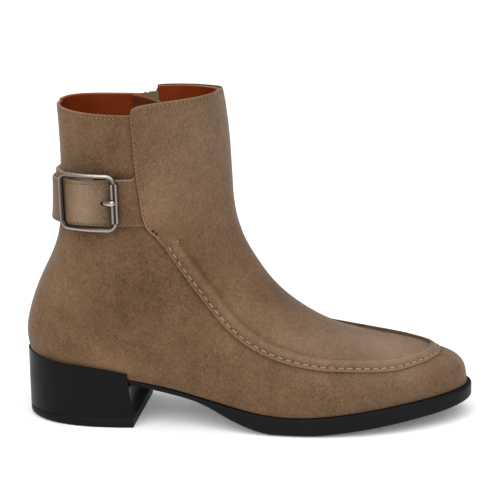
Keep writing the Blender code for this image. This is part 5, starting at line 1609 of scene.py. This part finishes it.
class BOOT_OT_zip(BootOperator):
    """Make the zip on the inner side: tape, teeth, slider, pull tab and the guard behind it"""

    bl_idname = "boot.zip"
    bl_label = "Zip"

    def execute(self, context):
        height = np.linspace(ZIP_FOOT[1], ZIP_TOP[1], 160)
        girth = zip_girth(height)[:, None] + np.linspace(-0.5, 0.5, 13)[None, :] * ZIP_WIDE
        level = np.repeat(height[:, None], 13, axis=1)
        tape = sheet(LAST.on_shaft(girth, level, GAP + TAPE_THICK), LAST.on_shaft(girth, level, GAP))
        new_piece("zip_tape", tape, "woven_tape", "zip_metal", ("zip_chain",))

        pitch = boot_sizes().tooth_pitch
        teeth = []
        for side in (-1.0, 1.0):
            level = np.arange(ZIP_FOOT[1] + 2.0 + (side + 1.0) * pitch / 4.0, ZIP_TOP[1] - 1.0, pitch)
            girth = zip_girth(level) + side * TOOTH_ASIDE
            out = LAST.shaft_normal(girth, level)
            up = np.broadcast_to(UP, out.shape)
            aside = unit(np.cross(up, out))
            place = LAST.on_shaft(girth, level, GAP + TOOTH_OUT)
            tooth = rounded_block(TOOTH, 3.4, 8, 12)
            parts = [place[:, None, None]]
            parts += [axis[:, None, None] * tooth[..., k:k + 1] for k, axis in enumerate((aside, out, up))]
            teeth.append(grids(sum(parts)))
        new_piece("zip_teeth", join(*teeth), "tumbled_nickel", "zip_metal")

        joint = frame["joints"][0]
        pin = np.array(joint["pos_m"]) / MM - SHIFT
        ahead = unit(np.array(joint["axis"], float))
        axes = np.array([ahead, unit(np.cross(UP, ahead)), UP])

        def placed(points, middle=(0.0, 0.0, 0.0)):
            """Shape of a grid given along the pin, out and up from the pin's middle."""
            return grids((points + np.array(middle)) @ axes + pin)

        def turned(outline, sides):
            """Shape turned round the pin from rows of a place along it and a radius."""
            angle = np.linspace(0.0, 2.0 * np.pi, sides + 1)
            ring = np.stack([0.0 * angle, np.cos(angle), np.sin(angle)], axis=-1)
            return outline[:, None, :1] * (1.0, 0.0, 0.0) + outline[:, None, 1:] * ring

        half_body = np.array([SLIDER_WIDE, SLIDER_THICK, SLIDER_HIGH]) / 2.0
        body = placed(rounded_block(half_body, 5.0, 28, 48), (0.0, SLIDER_THICK / 2.0 - PIN_OUT, 0.0))
        ear_middle = PULL_NECK / 2.0 + EAR_CLEAR + EAR_THICK / 2.0
        ear = rounded_block((EAR_THICK / 2.0, *EAR_HALF), 4.0, 16, 32)
        ears = [placed(ear, (side * ear_middle, -EAR_BACK, 0.0)) for side in (-1.0, 1.0)]
        run = np.concatenate([[-1.0], np.linspace(-1.0, 1.0, 9), [1.0]]) * ear_middle
        radius = np.full(len(run), PIN_RADIUS)
        radius[[0, -1]] *= 0.001
        runner = join(body, *ears, placed(turned(np.column_stack([run, radius]), 24)))
        new_piece("zip_runner", runner, "tumbled_nickel", "zip_metal", ("zip_slider",))

        neck = PULL_NECK / 2.0
        bore, skin = PIN_RADIUS + PIN_CLEAR, PIN_RADIUS + BARREL_WALL
        barrel = turned(np.array([
            # along the pin, radius
            [-neck, bore], [-neck, skin - 0.2], [0.2 - neck, skin], [neck - 0.2, skin], [neck, skin - 0.2],
            [neck, bore], [-neck, bore],
        ]), 32)
        stem_high = (PULL_STEM - skin) / 2.0 + 0.6
        stem = rounded_block((neck - 0.5, PULL_THICK / 2.0 - 0.1, stem_high), 5.0, 16, 32)
        tab_half = (PULL_LONG - PULL_STEM) / 2.0 + 0.4
        tab_middle = -PULL_LONG + tab_half
        turn = np.linspace(0.0, 2.0 * np.pi, 97)

        def outline_of(half_wide, half_high, square):
            """Superellipse in the tab's plane."""
            x, z = shaped(np.cos(turn), square), shaped(np.sin(turn), square)
            return np.stack([half_wide * x, 0.0 * turn, half_high * z], axis=-1)

        outer = outline_of(PULL_WIDE / 2.0, tab_half, 3.6)
        slot = outline_of(PULL_WIDE / 4.0, tab_half * 0.52, 2.6) - (0.0, 0.0, tab_half * 0.12)
        thick = PULL_THICK / 2.0 - 0.1
        rim = np.array([
            # share from the outline to the slot, share of the half thickness
            [0.00, -0.55], [0.00, 0.55], [0.12, 0.92], [0.25, 1.0], [0.75, 1.0], [0.88, 0.92], [1.00, 0.55],
            [1.00, -0.55], [0.88, -0.92], [0.75, -1.0], [0.25, -1.0], [0.12, -0.92], [0.00, -0.55],
        ])
        ring = outer[None] + rim[:, :1, None] * (slot - outer)[None]
        tab = ring + rim[:, 1:, None] * (0.0, thick, 0.0)
        pull = join(placed(barrel), placed(stem, (0.0, 0.0, -skin - stem_high + 0.5)),
                    placed(tab, (0.0, 0.0, tab_middle)))
        new_piece("zip_tab", pull, "tumbled_nickel", "zip_metal", ("zip_pull",), "zip_pull")

        self.guard()
        return {"FINISHED"}

    def inside_sheet(self, x, top, low, rows, inward):
        """Sheet inside the shaft from a height up to its top edge, and how far under that edge its
        points lie."""
        level = low + (top - low) * np.linspace(0.0, 1.0, rows)[:, None]
        girth = np.array([LAST.girth_at(x, row, 1) for row in level])
        faces = [LAST.on_shaft(girth, level, -WALL - far) for far in inward]
        return sheet(*faces), top - level

    def guard(self):
        """Leather guard behind the zip, whose top edge falls to the front, and the tape's two ends."""
        share = np.linspace(0.0, 1.0, 40)
        x = GUARD_BACK + (GUARD_FRONT - GUARD_BACK) * share
        top = GUARD_TOP - GUARD_FALL * share ** 1.5
        guard, under = self.inside_sheet(x, top, GUARD_LOW, 60, GUARD_INSIDE)
        edge, = twice(smooth_step(1.0 - under / 0.8))
        new_piece("zip_guard", guard, "brown_guard", "lining_leather", edge=edge)
        ends = []
        for start, stop, fall in ((TAPE_BACK, TAPE_SPLIT, 0.5), (TAPE_SPLIT + TAPE_APART, TAPE_FRONT, 0.0)):
            top = TAPE_TOP - fall - 0.9 * np.abs(2.0 * share - 1.0) ** 4
            ends.append(self.inside_sheet(start + (stop - start) * share, top, TAPE_LOW, 12, TAPE_INSIDE)[0])
        new_piece("zip_tape_ends", join(*ends), "woven_tape", "zip_metal")


class BOOT_OT_sole(BootOperator):
    """Make the sole and the insole"""

    bl_idname = "boot.sole"
    bl_label = "Sole and insole"

    def execute(self, context):
        turns = np.linspace(0.0, np.pi / 2.0, 6)
        steps = [(SOLE_ROUND * (1.0 - np.sin(turn)), 0.0, SOLE_ROUND * np.cos(turn)) for turn in turns]
        steps += [(0.0, share, 0.0) for share in np.linspace(0.0, 1.0, 8)[1:-1]]
        turns = np.linspace(0.0, np.pi / 2.0, 8)
        steps += [(SOLE_ROLL * (1.0 - np.cos(turn)), 1.0, -SOLE_LOW * np.sin(turn)) for turn in turns]
        rings = []
        for inset, share, shift in steps:
            ring = plan_ring(SOLE_POINTS, lambda x, d=inset: sole_at(x)[2] - d)
            top, underside, _ = sole_at(ring[:, 0])
            high, low = top - GAP - SOLE_ROUND, np.maximum(underside, 0.0) + SOLE_LOW
            rings.append(np.column_stack([ring, high * (1.0 - share) + low * share + shift]))
        rings = np.array(rings)
        wall = grids(np.concatenate([rings, rings[:, :1]], axis=1))
        ends = [grids(across_ring(ring, 9)) for ring in (rings[0], rings[-1])]
        new_piece("sole_rubber", join(wall, *ends), "black_rubber", "sole_rubber", ("outsole",), sharp=50.0)

        ring = plan_ring(SOLE_POINTS, -WALL - INSOLE_CLEAR)
        plan = across_ring(ring, 33)
        base = sole_at(plan[..., 0].ravel())[0].reshape(plan.shape[:2])
        share = np.linspace(0.0, 1.0, 33)[None, :]
        wide = np.linalg.norm(plan[:, 0] - plan[:, -1], axis=1)[:, None]
        side = np.minimum(share, 1.0 - share) * wide
        high = base + INSOLE_THICK - edge_drop(side, INSOLE_ROUND)
        flat = np.concatenate([plan, base[..., None]], axis=-1)
        crown = np.concatenate([plan, high[..., None]], axis=-1)
        new_piece("insole_leather", sheet(crown, flat), "rust_lining", "lining_leather", ("insole",))
        return {"FINISHED"}


class BOOT_OT_heel(BootOperator):
    """Make the heel and its top lift"""

    bl_idname = "boot.heel"
    bl_label = "Heel"

    def line(self, count, margin, front):
        """Plan of the heel from its outer front corner round the back to the inner one, with the
        inner side drawn out at the front as far as the outer side."""
        fine = 400
        ring = plan_ring(fine, margin)
        halves = []
        for half in (ring[:fine], ring[fine:][::-1]):
            corner = [front, np.interp(front, half[:, 0], half[:, 1])]
            halves.append(np.vstack([half[half[:, 0] <= front], corner]))
        path = even_points(np.vstack([halves[0][::-1], halves[1][1:]]), count)
        path[:, 0] -= HEEL_BULGE * smooth_step(1.0 - path[:, 0] / HEEL_MIDDLE)
        grow = np.clip(path[:, 0] / front, 0.0, 1.0) * (np.abs(path[0, 1]) / path[-1, 1] - 1.0)
        path[:, 1] *= np.where(path[:, 1] > 0.0, 1.0 + grow, 1.0)
        return path

    def execute(self, context):
        count = HEEL_POINTS
        foot = self.line(count, HEEL_OUT, BREAST_FOOT)

        def rim_at(x):
            return sole_at(x)[0] + RIM_HIGH + RIM_RISE * smooth_step(1.0 - x / HEEL_MIDDLE) ** 2

        outer = raised(self.line(count, CUP_OUT, BREAST_TOP), rim_at)
        rim = raised(self.line(count, CUP_OUT - CUP_RIM, BREAST_TOP), rim_at)
        pocket = raised(self.line(count, CUP_CLEAR, BREAST_TOP), lambda x: sole_at(x)[1] - GAP)
        low = raised(foot, LIFT_HIGH + 0.05)
        rows = np.array([low, outer, rim, pocket])
        number = np.arange(rows.shape[0] * count).reshape(rows.shape[:2])
        half = count // 2
        ends = [strip_quads(line[:half], line[::-1][:half]) for line in (number[0], number[-1])]
        first, second = number[:, 0], number[:, -1]
        breast = [first, second, [first[0], first[-1], second[-1], second[0]]]
        shape = rows.reshape(-1, 3), np.concatenate([grid_quads(number.shape), *ends, breast])
        new_piece("heel_lacquer", shape, "black_heel", "heel", ("heel_block",), sharp=30.0)

        corner, cup = rows[0, [0, -1]], rows[1, [0, -1]]
        rise = (rows[3, 0, 2] - corner[:, 2:]) / (cup - corner)[:, 2:]
        share = np.linspace(0.0, 1.0, 16)[:, None, None]
        sides = corner + (cup - corner) * rise * share
        over = np.linspace(0.005, 0.995, 12)[None, :, None]
        plate = sides[:, :1] + (sides[:, 1:] - sides[:, :1]) * over
        # Painted reflection, paler towards the flap's top
        light, = twice(np.repeat(smooth_step(share[:, :, 0] * 1.6 - 0.6), plate.shape[1], axis=1))
        shape = sheet(plate + (FLAP_THICK, 0.0, 0.0), plate + (FLAP_CLEAR, 0.0, 0.0))
        new_piece("heel_breast", shape, "black_flap", "heel", light=light)

        ease = HEEL_EASE * smooth_step(1.0 - foot[:, 0] / EASE_LONG)
        inward = unit(np.array([HEEL_MIDDLE, 0.0]) - foot)
        under = foot + inward * (LIFT_EDGE + 2.0 * ease)[:, None]
        turn = np.linspace(0.0, np.pi / 2.0, 5)
        rings = [np.column_stack([under + (foot - under) * np.sin(k), (LIFT_EDGE + ease) * (1.0 - np.cos(k))])
                 for k in turn]
        rings += [raised(foot, LIFT_HIGH - 0.3), raised(foot + inward * 0.3, LIFT_HIGH)]
        breast = np.linspace(0.0, 1.0, 24)[1:-1, None]
        rings = [np.vstack([ring, ring[-1] + breast * (ring[0] - ring[-1])]) for ring in rings]
        new_piece("heel_lift_rubber", stack(rings), "black_rubber", "sole_rubber",
                  ("heel_top_lift",), sharp=50.0)
        return {"FINISHED"}


class BOOT_OT_stage(BootOperator):
    """Make the floor, the soft lights and the camera at the photo's angle"""

    bl_idname = "boot.stage"
    bl_label = "Stage"

    SKY_LOW = 0.10  # light of the room at the horizon
    SKY_HIGH = 0.75  # and overhead
    SUN = 2.3  # soft light from above
    SUN_SPREAD = 85.0  # degrees that it covers
    SUN_PLACE = (0.25, -0.75, 1.4)
    FRONT = 5.0  # watts of the soft light in front
    FRONT_WIDE = 1.0  # metres
    FRONT_PLACE = (-0.55, -1.20, 0.75)
    AIM = (0.0, 0.0, 0.08)

    def execute(self, context):
        scene = context.scene
        mesh = bpy.data.meshes.new("floor")
        half = 6.0
        mesh.from_pydata([(-half, -half, 0.0), (half, -half, 0.0), (half, half, 0.0), (-half, half, 0.0)], [],
                         [(0, 1, 2, 3)])
        mesh.materials.append(finish("studio_floor"))
        floor = bpy.data.objects.new("floor", mesh)
        scene.collection.objects.link(floor)
        world = bpy.data.worlds.new("studio")
        world.use_nodes = True
        tree = world.node_tree
        way = add_node(tree, "ShaderNodeTexCoord")
        height = add_node(tree, "ShaderNodeSeparateXYZ", None, {"Vector": way.outputs["Generated"]})
        bright = ramp(tree, height.outputs["Z"], 0.1, 0.8, self.SKY_LOW, self.SKY_HIGH)
        tree.links.new(bright, tree.nodes["Background"].inputs["Strength"])
        tree.nodes["Background"].inputs["Color"].default_value = (1.0, 1.0, 1.0, 1.0)
        scene.world = world
        sun = bpy.data.lights.new("overhead", "SUN")
        sun.energy = self.SUN
        sun.angle = np.radians(self.SUN_SPREAD)
        front = bpy.data.lights.new("front", "AREA")
        front.energy = self.FRONT
        front.size = self.FRONT_WIDE
        for light, place in ((sun, self.SUN_PLACE), (front, self.FRONT_PLACE)):
            lamp = bpy.data.objects.new(light.name, light)
            lamp.location = place
            lamp.rotation_euler = self.towards(place, self.AIM).to_euler()
            scene.collection.objects.link(lamp)
        turn, rise, roll = np.radians([CAMERA_TURN, CAMERA_RISE, CAMERA_ROLL])
        back = np.array([np.sin(turn) * np.cos(rise), -np.cos(turn) * np.cos(rise), np.sin(rise)])
        right = np.array([np.cos(turn), np.sin(turn), 0.0])
        up = np.cross(back, right)
        lens = bpy.data.cameras.new("camera")
        lens.lens = CAMERA_LENS
        camera = bpy.data.objects.new("camera", lens)
        axes = np.column_stack([
            right * np.cos(roll) - up * np.sin(roll), right * np.sin(roll) + up * np.cos(roll), back])
        matrix = Matrix(axes.tolist()).to_4x4()
        matrix.translation = to_frame(np.array(CAMERA_PLACE)).tolist()
        camera.matrix_world = matrix
        scene.collection.objects.link(camera)
        scene.camera = camera
        scene.view_settings.view_transform = "Standard"
        return {"FINISHED"}

    def towards(self, place, aim):
        """Rotation that turns a light's own -Z to its aim."""
        back = unit(np.subtract(place, aim))
        right = unit(np.cross((0.0, 1.0, 0.0), back))
        return Matrix(np.column_stack([right, np.cross(back, right), back]).tolist())


class BOOT_PT_panel(bpy.types.Panel):
    """Lists the boot's operators, sizes and colours"""

    bl_label = "Suede ankle boot"
    bl_idname = "BOOT_PT_panel"
    bl_space_type = "VIEW_3D"
    bl_region_type = "UI"
    bl_category = "Boot"

    def draw(self, context):
        for maker in MAKERS:
            self.layout.operator(maker.bl_idname)
        for group in (context.scene.boot_sizes, context.scene.boot_colours):
            for name in group.bl_rna.properties.keys():
                if name not in ("rna_type", "name"):
                    self.layout.prop(group, name)


MAKERS = (
    BOOT_OT_upper,
    BOOT_OT_front_panel,
    BOOT_OT_stitches,
    BOOT_OT_belt,
    BOOT_OT_buckle,
    BOOT_OT_zip,
    BOOT_OT_sole,
    BOOT_OT_heel,
    BOOT_OT_stage,
)
CLASSES = (BootSizes, BootColours, *MAKERS, BOOT_PT_panel)


def register():
    """Register the classes and hang the properties on the scene."""
    for item in CLASSES:
        bpy.utils.register_class(item)
    bpy.types.Scene.boot_sizes = PointerProperty(type=BootSizes)
    bpy.types.Scene.boot_colours = PointerProperty(type=BootColours)


def unregister():
    """Take the properties and classes away again."""
    del bpy.types.Scene.boot_colours
    del bpy.types.Scene.boot_sizes
    for item in reversed(CLASSES):
        bpy.utils.unregister_class(item)


def main():
    """Make every piece and the stage."""
    register()
    bpy.ops.boot.upper()
    bpy.ops.boot.front_panel()
    bpy.ops.boot.stitches()
    bpy.ops.boot.belt()
    bpy.ops.boot.buckle()
    bpy.ops.boot.zip()
    bpy.ops.boot.sole()
    bpy.ops.boot.heel()
    bpy.ops.boot.stage()


if __name__ == "__main__":
    main()
